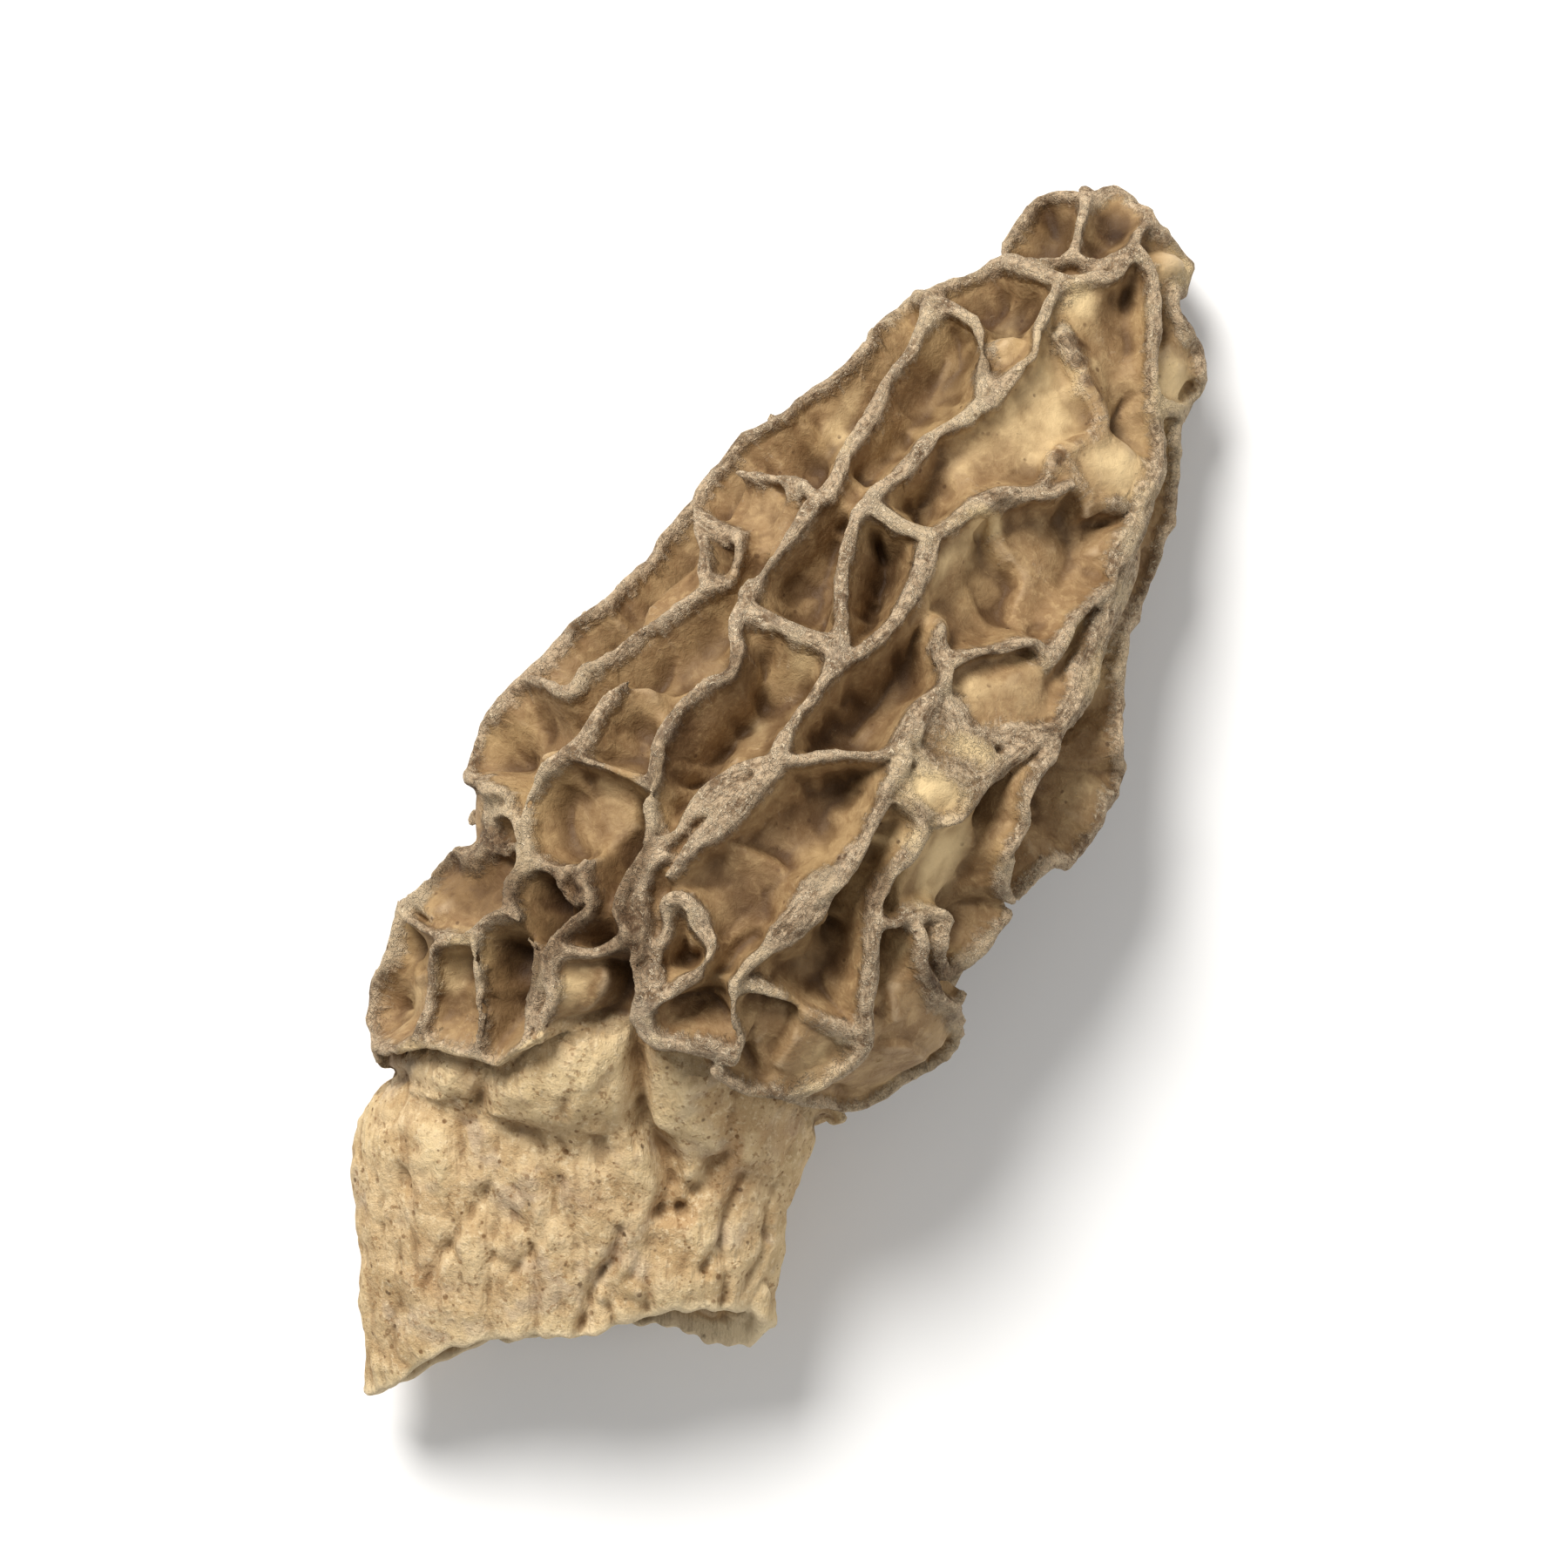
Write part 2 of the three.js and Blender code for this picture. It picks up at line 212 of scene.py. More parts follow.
# ---------------------------------------------------------------- ridges
# Upper side, seen from above: half width, crest depth below the envelope at each end, then x, y points (mm).
TOP = [
    # left silhouette and the wide double crest beside it
    (0.50, 0.0, 0.0, [(-6.2, 25.8), (-7.6, 25.4), (-8.1, 23.5), (-8.3, 21.2), (-9.3, 19.5), (-10.2, 18), (-10.8, 16.5), (-11.9, 14.8), (-12.6, 13), (-13, 11), (-13.4, 9), (-13.8, 7), (-14.2, 5.2), (-15, 3), (-15.9, 1.2), (-16.6, -0.8), (-17.4, -2.6), (-17.9, -4.6), (-18.4, -6.8), (-18, -8.1), (-16.8, -8.5), (-15.4, -8.4)]),
    (0.34, 0.3, 0.5, [(-15.6, -8.0, 0.24), (-15.2, -8.9, 0.20), (-15.5, -9.7, 0.20), (-15.6, -10.5, 0.20), (-15.4, -11.1, 0.22), (-15.6, -11.6, 0.22)]),
    (0.48, 0.3, 0.3, [(-15.5, -9.8, 0.20), (-14.9, -9.3, 0.24), (-14.1, -9.5, 0.22), (-13.6, -10.2, 0.20)]),
    (0.62, 0.0, 0.0, [(-6.2, 25.8), (-5.9, 24), (-6, 22), (-6.2, 20), (-6.4, 18), (-6.4, 16), (-6.5, 14), (-7.1, 12), (-7.6, 10), (-7.9, 8), (-8.1, 6.3)]),
    (0.40, 0.5, 0.3, [(-12, 12.6), (-10.5, 13.1), (-9, 13.5), (-8.3, 13.6), (-7.2, 13)]),
    (0.34, 0.5, 0.4, [(-12.6, 9.8, 0.3), (-11.4, 9.5, 0.42), (-10.4, 9.4, 0.5), (-9.8, 9.3, 0.3)]),
    (0.38, 1.0, 1.8, [(-8.7, 13.2), (-8.3, 11.6), (-8.1, 10), (-8, 8)]),
    (0.38, 0.1, 0.1, [(-12.8, 10), (-12.2, 9.2), (-11.4, 8.2), (-10.8, 7), (-10.4, 6.1), (-11.2, 5), (-11.8, 3.6), (-12.6, 2.6), (-13.2, 1.2), (-13.8, 0.2), (-14.4, -0.4), (-14.3, -1.4), (-15, -1.9), (-16.4, -2), (-17.2, -2.4)]),
    (0.30, 0.5, 0.2, [(-9.8, 9.4), (-9.7, 8), (-9.9, 6.6), (-10.3, 6.1)]),
    (0.45, 0.0, 0.0, [(-8.1, 6.2, 0.36), (-7.9, 5, 0.36), (-7.3, 4, 0.36), (-6.95, 3, 0.28), (-7.1, 2.4, 0.24), (-7.9, 1.8, 0.28), (-8.4, 0.6, 0.28), (-8.9, -0.8, 0.3), (-9.0, -1.6, 0.34), (-8.6, -2.6, 0.36), (-8.2, -3.8, 0.40), (-7.9, -5.2, 0.42), (-7.3, -6.4, 0.38), (-6.9, -7.2, 0.34)]),
    (0.34, 0.5, 0.1, [(-11.9, 0.2, 0.16), (-12.2, -0.6, 0.22), (-12.5, -1.8, 0.36), (-12.7, -3.2, 0.46), (-13.2, -4.6, 0.6), (-13.5, -5.6, 0.55), (-14.1, -6.8, 0.26), (-13.8, -8.6, 0.22), (-13.3, -9.8, 0.22), (-12.8, -11, 0.3), (-13, -12.2, 0.34)]),
    (0.32, 0.6, 0.8, [(-12.8, -4.7), (-11, -4.4), (-9.8, -4.1), (-8.4, -4.4)]),
    (0.50, 1.0, 1.6, [(-17.0, -8.4, 0.34), (-16.6, -9.4, 0.30), (-16.3, -10.5, 0.30), (-16.0, -11.6, 0.30)]),
    # the long central ridges
    (0.60, 0.0, 0.0, [(-0.2, 29.4, 0.4), (-0.1, 28, 0.34), (-0.1, 26.5, 0.3), (0.25, 25.2, 0.3), (0.0, 24, 0.4), (-0.3, 22.6, 0.45), (-1.0, 21.2, 0.6), (-1.9, 19.8, 0.5), (-2.5, 18.6, 0.5), (-2.95, 17.4, 0.55), (-3.35, 16, 0.5), (-3.95, 15, 0.4), (-4.4, 14, 0.42)]),
    (0.50, 0.0, 0.0, [(-4.4, 14), (-3, 13.6), (-1.6, 13.6), (-0.3, 13.7)]),
    (0.50, 0.0, 0.1, [(-4.4, 13.9), (-4.5, 12.4), (-4.3, 11), (-4, 10), (-3.6, 9), (-3, 7.8), (-2.6, 6.6), (-2.4, 5.6), (-2.3, 5.0)]),
    (0.60, 0.0, 0.0, [(-0.3, 13.7), (-0.2, 12), (-0.15, 10.6), (-0.3, 9, 0.45), (-0.85, 7.6, 0.45), (-1.45, 6.3, 0.36), (-2.2, 4.9, 0.34), (-2.6, 3.2, 0.32), (-2.85, 1.6, 0.36), (-2.95, 0.2, 0.46), (-3.0, -1, 0.5)]),
    (0.95, 0.0, 0.0, [(-3.0, -1, 0.5), (-3.3, -2.4, 0.6), (-3.95, -4.2, 0.7), (-4.6, -5.6, 0.55), (-5.0, -7, 0.36), (-5.4, -8.4, 0.22)]),
    (0.40, 0.4, 0.1, [(-3.7, -0.8, 0.25), (-4.7, -1.9, 0.4), (-5.3, -3, 0.42), (-5.75, -4.4, 0.34), (-6.05, -6, 0.25), (-6.8, -7.3, 0.25), (-7.35, -8.7, 0.25), (-7.5, -10, 0.25), (-7.1, -11.1, 0.22), (-6.3, -11.7, 0.2), (-6.1, -12.2, 0.24)]),
    (0.50, 0.1, 0.1, [(-8.1, 6.2), (-6.5, 6.1), (-5, 6.1), (-3.6, 6.2), (-2.4, 6.1)]),
    # right of the middle
    (0.55, 0.0, 0.0, [(-0.3, 13.7, 0.4), (0.1, 14.3, 0.42), (0.6, 15.3, 0.5), (1.1, 16.2, 0.55), (1.9, 17.0, 0.5), (2.8, 17.7, 0.4), (4, 18.05, 0.32), (4.8, 18.8, 0.3), (5.4, 19.7, 0.26)]),
    (0.34, 0.5, 2.9, [(2.8, 17.6, 0.26), (2.6, 16.8, 0.2), (2.8, 16.1, 0.18), (3.5, 15.5, 0.16), (4.6, 14.9, 0.14)]),
    # torn flaps standing in the large upper pit
    (0.48, 0.9, 1.2, [(1.3, 27.1, 0.12), (1.9, 26.5, 0.20), (2.8, 25.9, 0.26), (3.7, 25.2, 0.18), (4.7, 24.6, 0.10), (5.5, 24.0, 0.10), (6.0, 23.4, 0.10)]),
    (0.48, 1.3, 1.0, [(6.0, 23.2, 0.10), (5.3, 22.7, 0.10), (4.6, 22.0, 0.12), (4.1, 21.2, 0.18), (3.9, 20.5, 0.18), (4.1, 19.9, 0.14)]),
    (0.24, 1.1, 0.8, [(5.5, 20.0, 0.14), (6.2, 19.7, 0.14), (6.8, 19.4, 0.14), (7.4, 18.8, 0.14), (7.7, 19.7, 0.14), (8.3, 20.0, 0.14), (9.0, 19.9, 0.2)]),
    (0.34, 0.2, 1.0, [(3.9, 18.2, 0.26), (4.6, 19.3, 0.22), (5.2, 20.1, 0.16)]),
    (0.36, 0.3, 0.2, [(2.3, 9.7, 0.2), (2.8, 8.8, 0.3), (3.2, 8.1, 0.3), (3.5, 8.0, 0.3)]),
    (0.36, 0.2, 0.1, [(3.4, 8.0, 0.3), (4, 8.7, 0.22), (4.8, 9.3, 0.22), (5.6, 9.9, 0.24), (6.5, 10.5, 0.26), (7.4, 11.0, 0.26), (8.0, 10.8, 0.3), (8.5, 10.8, 0.34), (8.6, 12, 0.34), (8.9, 13.3, 0.28), (9.3, 14.6, 0.26), (9.7, 15.6, 0.3)]),
    (0.75, 0.0, 0.0, [(3.0, 32.8, 0.3), (3.8, 32.6, 0.4), (4.6, 31.8, 0.45), (5.5, 30, 0.42), (6.3, 28.2, 0.42), (7, 26.7, 0.4), (8, 25.4, 0.55), (9, 24.2, 0.65), (9.6, 22.6, 0.8), (9.7, 20.6, 1.0), (9.8, 18.8, 1.2), (9.85, 17, 1.25), (10.05, 15.4, 1.15), (10.25, 14, 0.95), (10.5, 12.6, 0.95), (10.6, 11.2, 0.95), (10.55, 9.6, 0.85), (10.45, 8, 0.65), (10.4, 6.6, 0.45), (10.2, 5, 0.38), (10.1, 3.6, 0.3), (10.4, 2.7, 0.3), (10.95, 2.2, 0.3), (10.85, 1.2, 0.3), (10.7, 0.4, 0.3), (10.95, -0.5, 0.3), (11.4, -1.4, 0.3), (11.9, -2.0, 0.3)]),
    (0.42, 0.2, 0.2, [(10.0, 7.2, 0.5), (9.3, 6.5, 0.5), (8.8, 5.2, 0.46), (8.3, 3.8, 0.42), (7.95, 2.8, 0.34), (7.8, 1.8, 0.26), (7.4, 0.9, 0.2), (6.8, 0.2, 0.16)]),
    (0.65, 0.0, 0.0, [(3.4, 8.0, 0.4), (3.5, 6.6, 0.45), (3.2, 5.2, 0.5), (3.3, 3, 0.5), (3.35, 1, 0.48), (3.3, -1, 0.42), (3.3, -3, 0.4), (3.2, -4.2, 0.42), (2.7, -5.2, 0.8), (2.2, -6.4, 1.1), (1.8, -7.6, 0.95), (1.2, -8.8, 0.65), (0.8, -9.8, 0.35), (0.3, -10.8, 0.25), (0.2, -11.8, 0.25), (0.7, -12.8, 0.28), (1.4, -14, 0.3), (1.9, -15, 0.34), (1.9, -15.8, 0.34)]),
    (0.42, 0.1, 0.1, [(3.0, 5.7), (2.6, 4.8), (2.5, 3.8), (2.6, 2.8), (2, 2.1), (0.8, 1.6), (0, 1.2), (-1, 0.6), (-1.8, 0), (-2.8, -0.5)]),
    (0.36, 0.4, 0.5, [(3.6, 6.3), (4.6, 6.1), (5.6, 5.5), (6.4, 5.35), (7.4, 5.6), (8.6, 6.4), (9.4, 6.9)]),
    (0.36, 0.5, 0.6, [(3.4, 3.2), (4.4, 2.9), (5.6, 3.1), (6.6, 3.4), (7.6, 2.9)]),
    (0.42, 0.3, 0.1, [(3.6, 0.6, 0.3), (5, 0.3, 0.26), (5.6, -0.3, 0.3), (6, -0.9, 0.4), (6.0, -2, 0.45), (5.8, -3.2, 0.45), (5.75, -4.2, 0.42), (5.7, -5.4, 0.4), (6.0, -6.4, 0.34), (6.4, -7.6, 0.36), (6.9, -8.8, 0.5), (7.3, -9.8, 0.36), (7.9, -11, 0.26), (8.25, -12.2, 0.28), (7.9, -13.6, 0.34), (7.2, -14.8, 0.4), (6.4, -15.8, 0.4), (5.8, -16.5, 0.3)]),
    (0.34, 0.2, 0.1, [(5.9, -5.8), (6.8, -5.6), (7.4, -5.2), (8, -4.9), (8.6, -4.4), (9.0, -3.9), (9.5, -4.2)]),
    (0.22, 0.0, 0.0, [(9.4, -4.6, 0.26), (9.6, -5.6, 0.28), (10.4, -6.2, 0.28), (11.2, -6.7, 0.28), (11.7, -6.0, 0.28), (12.1, -4.4, 0.28), (12.1, -2.6, 0.28)]),
    # the blunt tip
    (0.42, 0.0, 0.0, [(-3.8, 30), (-3.6, 32), (-3.2, 33.4), (-2.2, 34.2), (-1, 34.8), (0, 35.8), (1.4, 36.0), (2.6, 35.5), (3.0, 34.8), (2.8, 33.6), (2.9, 32.8)]),
    (0.40, 0.0, 0.1, [(-0.8, 34.9), (-0.6, 33), (-0.5, 31.6), (-0.9, 30.6), (-1.8, 29.9), (-3.2, 29.6)]),
    (0.40, 0.1, 0.1, [(-0.6, 30.9), (1, 31.4), (2.0, 32.0), (2.9, 32.7)]),
    (0.50, 0.0, 0.0, [(-6, 26.2), (-5.4, 27.2), (-4.6, 28), (-3.9, 29.2), (-2.4, 29.4), (-1.4, 29.4), (-0.2, 29.4), (1, 30), (1.8, 30.6), (2.4, 30.8), (2.9, 32.7)]),
    (0.38, 0.0, 0.0, [(-3.9, 29.2), (-3.9, 30.2)]),
    (0.55, 0.0, 0.0, [(3.0, 34.9), (4.6, 34.9), (6, 34.4), (6.8, 33.6), (6.8, 32.6), (6.4, 31.8), (6.9, 31), (7.6, 30.6), (8.8, 29.8), (9.6, 28.4), (10, 26.9), (9.2, 26.0), (8.0, 25.8)]),
    (0.34, 0.3, 0.5, [(-5.9, 26, 0.34), (-4.6, 25.7, 0.32), (-3.6, 25.5, 0.32), (-2.8, 24.8, 0.32), (-2.2, 24, 0.3), (-1.7, 23.2, 0.3), (-1.4, 22.0, 0.3)]),
    # lower left: small curled ribs, the double ridge and the lobe
    (0.32, 0.3, 0.5, [(-12.8, -11.2), (-12.2, -10.9), (-11.2, -10.8), (-10.4, -10.5), (-9.9, -10.1), (-9.7, -9.4)]),
    (0.34, 0.5, 0.4, [(-10.6, -10.6, 0.35), (-10.6, -11.2, 0.5), (-10.0, -11.2, 0.7), (-9.4, -11.2, 0.7), (-8.9, -11.2, 0.5)]),
    (0.34, 0.2, 0.6, [(-13, -12, 0.4), (-12.6, -13.2, 0.35), (-11.8, -13.7, 0.28), (-11, -14.4, 0.28), (-10.4, -15.1, 0.34), (-9.9, -15.8, 0.4), (-9.6, -16.8, 0.5), (-9.3, -17.7, 0.4), (-9.0, -18.4, 0.22), (-8.7, -19.4, 0.2)]),
    (0.40, 0.2, 0.3, [(-9.5, -10.4), (-8.6, -11), (-8.4, -11.8), (-9, -12.6), (-9.5, -13.6), (-9.4, -14.4), (-8.9, -15.4), (-8.3, -16.6), (-8.05, -17.8), (-7.9, -19.4)]),
    (0.38, 0.3, 0.2, [(-8.8, -14.2), (-8.4, -14), (-7.4, -13.6), (-6.6, -12.8), (-6.2, -12.2)]),
    (0.45, 0.0, 0.0, [(-15.8, -11.8), (-16.8, -12.8), (-17, -14.6), (-18, -15.8), (-18.2, -16.6), (-17.8, -19), (-17.5, -21.4), (-16.8, -23.4), (-15.8, -24.8), (-14.6, -25.4)]),
    (0.34, 0.1, 0.2, [(-18, -16.1), (-17.2, -16.5), (-16.2, -16.6), (-15.2, -16.6), (-14.4, -16.4), (-13.8, -15.9), (-13.4, -15.2), (-13.1, -14.4), (-12.6, -13.9)]),
    (0.34, 0.3, 0.3, [(-14.9, -16.6), (-15.15, -17.6), (-15.1, -18.4), (-14.75, -19.4), (-14.3, -20.6), (-13.95, -21.6), (-13.9, -22.4)]),
    (0.36, 0.2, 0.3, [(-13.3, -15.2), (-12.9, -16.6), (-12.3, -17.8), (-11.7, -19.2), (-11.0, -20.4), (-10.5, -21.4)]),
    (0.42, 0.0, 0.0, [(-17.3, -22.6), (-16, -23.8), (-15, -23.6), (-14.2, -22.9), (-12.8, -22.2), (-11.4, -21.9), (-10, -21.6), (-9.2, -21.4), (-8.6, -20.2), (-7.8, -18.6)]),
    (0.34, 0.3, 0.3, [(-15.8, -11.7), (-14.6, -11.2), (-13.6, -10.8), (-12.9, -11.2)]),
    # lower centre
    (0.38, 0.1, 0.2, [(-5.1, -9.6, 0.25), (-4.5, -9.1, 0.4), (-3.6, -9.3, 0.55), (-2.7, -9.8, 0.6), (-1.9, -10.1, 0.45), (-1.5, -10.8, 0.28), (-1.7, -11.8, 0.26), (-2.2, -13, 0.26), (-2.8, -14.4, 0.24), (-3.4, -15.5, 0.24), (-3.2, -16.2, 0.3)]),
    (0.32, 0.3, 0.4, [(-5.1, -9.9), (-4.4, -10.6), (-4.2, -12.0), (-3.9, -13.0), (-3.5, -14.4), (-3.4, -15.4)]),
    (0.36, 0.2, 0.3, [(-6, -7.4), (-6.7, -8.6), (-6.5, -9.6), (-5.8, -10.8), (-5.3, -12.2), (-5.2, -13.2), (-4.5, -14.0), (-4.0, -15.2), (-3.6, -16.2)]),
    (0.50, 0.1, 0.1, [(-3.4, -15.6), (-3, -16.4), (-2, -16.6), (-1, -16.2), (-0.4, -16.1), (0.6, -16), (1.4, -15.8), (1.9, -15.4)]),
    (0.36, 0.6, 0.9, [(1.0, -11.6), (2.2, -11.8), (3.4, -12), (4.4, -12.3), (5.4, -12.1), (7.4, -12.4)]),
    (0.45, 0.0, 0.0, [(1.6, -16.6), (3.0, -17.0), (4.4, -16.6), (6, -16.5), (7, -16.5), (7.6, -16.3), (9, -15.9), (10, -15.1), (11, -13.7), (12, -12.3), (12.7, -11.0), (12.8, -9.6), (12.2, -8.5), (11.2, -8.0), (10, -7.5), (9.0, -6.7), (8.4, -5.4)]),
    # right silhouette
    (0.50, 0.0, 0.0, [(10.0, 26.6), (9.4, 25.2), (10.4, 23.6), (11.1, 21.5), (11.4, 19.5), (11.8, 17.8), (11.9, 15.8), (11.8, 14), (12.2, 12.2), (13, 10.6), (13.8, 8.4), (14.6, 7.2), (14.8, 5.6), (14.6, 3.2), (14.3, 1.4), (13.2, 0.4), (12.2, -1.6)]),
]
# Low creases and folds that rise from pit floors, the same way.
TOP_LOW = [
    (0.28, 1.4, 1.3, [(-0.4, 9.2), (0.6, 9.8), (1.6, 9.9), (2.3, 9.7)]),
    (0.26, 1.6, 2.4, [(3.4, 2), (4.4, 2.6), (5.2, 2.6)]),
    (0.28, 2.0, 2.4, [(-5.8, 14.4), (-5.0, 14.7), (-4.4, 14.4)]),
    (0.28, 1.8, 2.4, [(-11.6, 0.2), (-10.2, -0.4), (-9.0, -0.8)]),
    (0.24, 1.4, 1.8, [(6.6, -1.2), (7.0, -2.6), (7.5, -3.8), (8.2, -4.6)]),
    (0.24, 1.4, 1.4, [(3.8, -3.0), (4.4, -2.8), (5.0, -2.6), (5.6, -3.4)]),
    (0.26, 1.8, 2.4, [(10.6, 10.6), (11.6, 11.2), (12.4, 11.4)]),
    (0.26, 1.8, 2.4, [(9.7, 18.2), (10.8, 18.0), (11.6, 18.4)]),
    (0.26, 1.8, 2.2, [(-12.6, -0.2), (-14.6, -4.0), (-16.2, -5.4)]),
    (0.26, 1.6, 2.2, [(-16.0, -18.8), (-17.4, -19.4)]),
]


def spline(pts, step=0.45):
    """A smooth line through the points, as points about step apart. The last axis may hold any number of values."""
    pts = np.asarray(pts, float)
    if len(pts) == 2:
        pts = np.array([pts[0], (pts[0] + pts[1]) / 2, pts[1]])
    out = []
    for i in range(len(pts) - 1):
        p0, p1, p2, p3 = (pts[min(max(i + k, 0), len(pts) - 1)] for k in (-1, 0, 1, 2))
        n = max(1, int(math.ceil(np.linalg.norm((p2 - p1)[:2]) / step)))
        for f in np.arange(n) / n:
            out.append(p1 + 0.5 * f * (p2 - p0 + f * (2 * p0 - 5 * p1 + 4 * p2 - p3 + f * (3 * (p1 - p2) + p3 - p0))))
    out.append(pts[-1])
    return np.array(out)


def sag(half, length, f):
    """A thin rib hangs a little lower midway between the ridges that it joins."""
    return (0.55 if half < 0.46 and length < 9 else 0.12) * np.sin(np.pi * f) ** 2


def top_line(half, h0, h1, pts):
    """Points are x, y, or x, y and the half width there."""
    thin = 0.66 if half < 0.46 else 0.86
    xy = spline([(p[0], p[1], p[2] if len(p) > 2 else half * thin) for p in pts])
    t = row_through(xy[:, 0], xy[:, 1])
    phi = top_angle(xy[:, 0], t)
    f = np.linspace(0, 1, len(xy))
    length = np.linalg.norm(np.diff(xy, axis=0), axis=1).sum()
    return t, phi, xy[:, 2], h0 + (h1 - h0) * f + sag(half, length, f)


def round_line(half, h0, h1, pts):
    """pts are row, degrees."""
    mm = np.array([(p[0] * 2.9, p[1] * 0.21) for p in pts])
    q = spline(mm)
    f = np.linspace(0, 1, len(q))
    length = np.linalg.norm(np.diff(q, axis=0), axis=1).sum()
    return q[:, 0] / 2.9, np.radians(q[:, 1] / 0.21), np.full(len(q), half * 0.7), h0 + (h1 - h0) * f + sag(half, length, f)


# The hidden sides and the underside: long wandering ridges, joined by ribs as on the upper side.
rng = np.random.RandomState(11)
UNDER, UNDER_LOW = [], []
BASE = [181, 199, 219, 239, 258, 278, 298, 318, 338, 358]
NB = len(BASE)
wob = rng.uniform(-1, 1, (NB, 40))


def under_angle(k, t):
    f = np.clip((t - 6) / 21.0, 0, 1)
    calm = 0.0 if k in (0, NB - 1) else 1.0
    base = BASE[k] + calm * 3.2 * math.sin(0.9 * k + f * 5)
    q = t / 1.25
    i = int(math.floor(q))
    u = q - i
    u = u * u * (3 - 2 * u)
    w = wob[k, i % 40] * (1 - u) + wob[k, (i + 1) % 40] * u
    tip = smooth((t - 21) / 5)
    # neighbours draw together in pairs towards the tip
    pair = {1: 2, 3: 2, 4: 5, 6: 5, 7: 8}.get(k)
    a = base + calm * 5.5 * w
    if pair is not None:
        a = a + (BASE[pair] - a) * float(smooth((t - (19.0 + (k % 3))) / 3.5))
    return a


for k in range(NB):
    if k in (0, NB - 1):
        continue
    t_end = 26.2 if k in (2, 5, 8) else 22.0 + (k % 3) + 0.8
    UNDER.append((0.40 + 0.16 * rng.rand(), 0.0, 0.1, [(t, under_angle(k, t)) for t in np.arange(6.2, t_end, 0.6)]))
for k in range(NB - 1):
    t = 7.2 + rng.rand() * 1.4
    while t < 24.5:
        a, b = under_angle(k, t), under_angle(k + 1, t)
        gap = (b - a) * 0.21
        if gap > 1.6:
            skew, bow = rng.uniform(-0.7, 0.7), rng.uniform(-0.45, 0.45)
            pts = []
            for u in (0, 0.25, 0.5, 0.75, 1.0):
                tt = t + skew * (u - 0.5) + bow * math.sin(math.pi * u)
                aa, bb = under_angle(k, tt), under_angle(k + 1, tt)
                pts.append((tt, aa + (bb - aa) * u))
            high = rng.rand() < 0.72
            if high:
                h = rng.uniform(0.1, 0.8)
                UNDER.append((0.30 + 0.14 * rng.rand(), h, rng.uniform(0.1, 0.8), pts))
            else:
                UNDER_LOW.append((0.27, 1.6, 2.3, pts))
        t += rng.uniform(1.15, 2.3)
# the margin of the cap round the underside
UNDER.append((0.46, 0.0, 0.0, [(6.0 + 0.28 * math.sin(d * 0.11) + 0.16 * math.sin(d * 0.31 + 1), d) for d in np.arange(176, 368, 3.0)]))
UNDER.append((0.42, 0.0, 0.0, [(26.0, d) for d in np.arange(178, 365, 12.0)]))


def ridge_map(lines, reach=5.0, seed=3):
    """Distance to the nearest ridge line, that ridge's half width and its crest's depth."""
    D = np.full((NS, NP), reach, np.float32)
    W = np.full((NS, NP), 0.4, np.float32)
    H = np.zeros((NS, NP), np.float32)
    L = np.zeros((NS, NP), np.float32)
    run = 0.0
    for t, phi, half, crest in lines:
        pt = surface(t, phi)
        pt = pt + 0.16 * np.stack([noise(pt, 1.1, seed), noise(pt, 1.1, seed + 1), noise(pt, 1.1, seed + 2)], -1)
        si = S_OF_T(t) / DS
        pj = phi / (2 * np.pi) * NP
        for n in range(len(pt) - 1):
            i0 = max(0, int(min(si[n], si[n + 1]) - reach / DS * 1.15))
            i1 = min(NS, int(max(si[n], si[n + 1]) + reach / DS * 1.15) + 2)
            if i1 <= i0:
                continue
            cell = GIRTH[i0:i1].min() / NP
            span = int(reach / cell * 1.25) + 2
            j0, j1 = int(min(pj[n], pj[n + 1])) - span, int(max(pj[n], pj[n + 1])) + span
            cols = np.arange(NP) if j1 - j0 >= NP else np.arange(j0, j1) % NP
            A = MP[i0:i1][:, cols]
            a, ab = pt[n].astype(np.float32), (pt[n + 1] - pt[n]).astype(np.float32)
            u = np.clip(((A - a) @ ab) / max(float(ab @ ab), 1e-9), 0, 1)
            d = np.sqrt((((A - a) - u[..., None] * ab) ** 2).sum(-1))
            old = D[i0:i1][:, cols]
            near = d < old
            D[i0:i1, cols] = np.where(near, d, old)
            W[i0:i1, cols] = np.where(near, half[n] + (half[n + 1] - half[n]) * u, W[i0:i1][:, cols])
            H[i0:i1, cols] = np.where(near, crest[n] + (crest[n + 1] - crest[n]) * u, H[i0:i1][:, cols])
            size = float(np.sqrt(ab @ ab))
            L[i0:i1, cols] = np.where(near, run + size * u, L[i0:i1][:, cols])
            run += size
    return D, W, H, L


D1, W1, H1, L1 = ridge_map([top_line(*r) for r in TOP] + [round_line(*r) for r in UNDER])
D2, W2, H2, _ = ridge_map([top_line(*r) for r in TOP_LOW] + [round_line(*r) for r in UNDER_LOW], 3.5, 8)

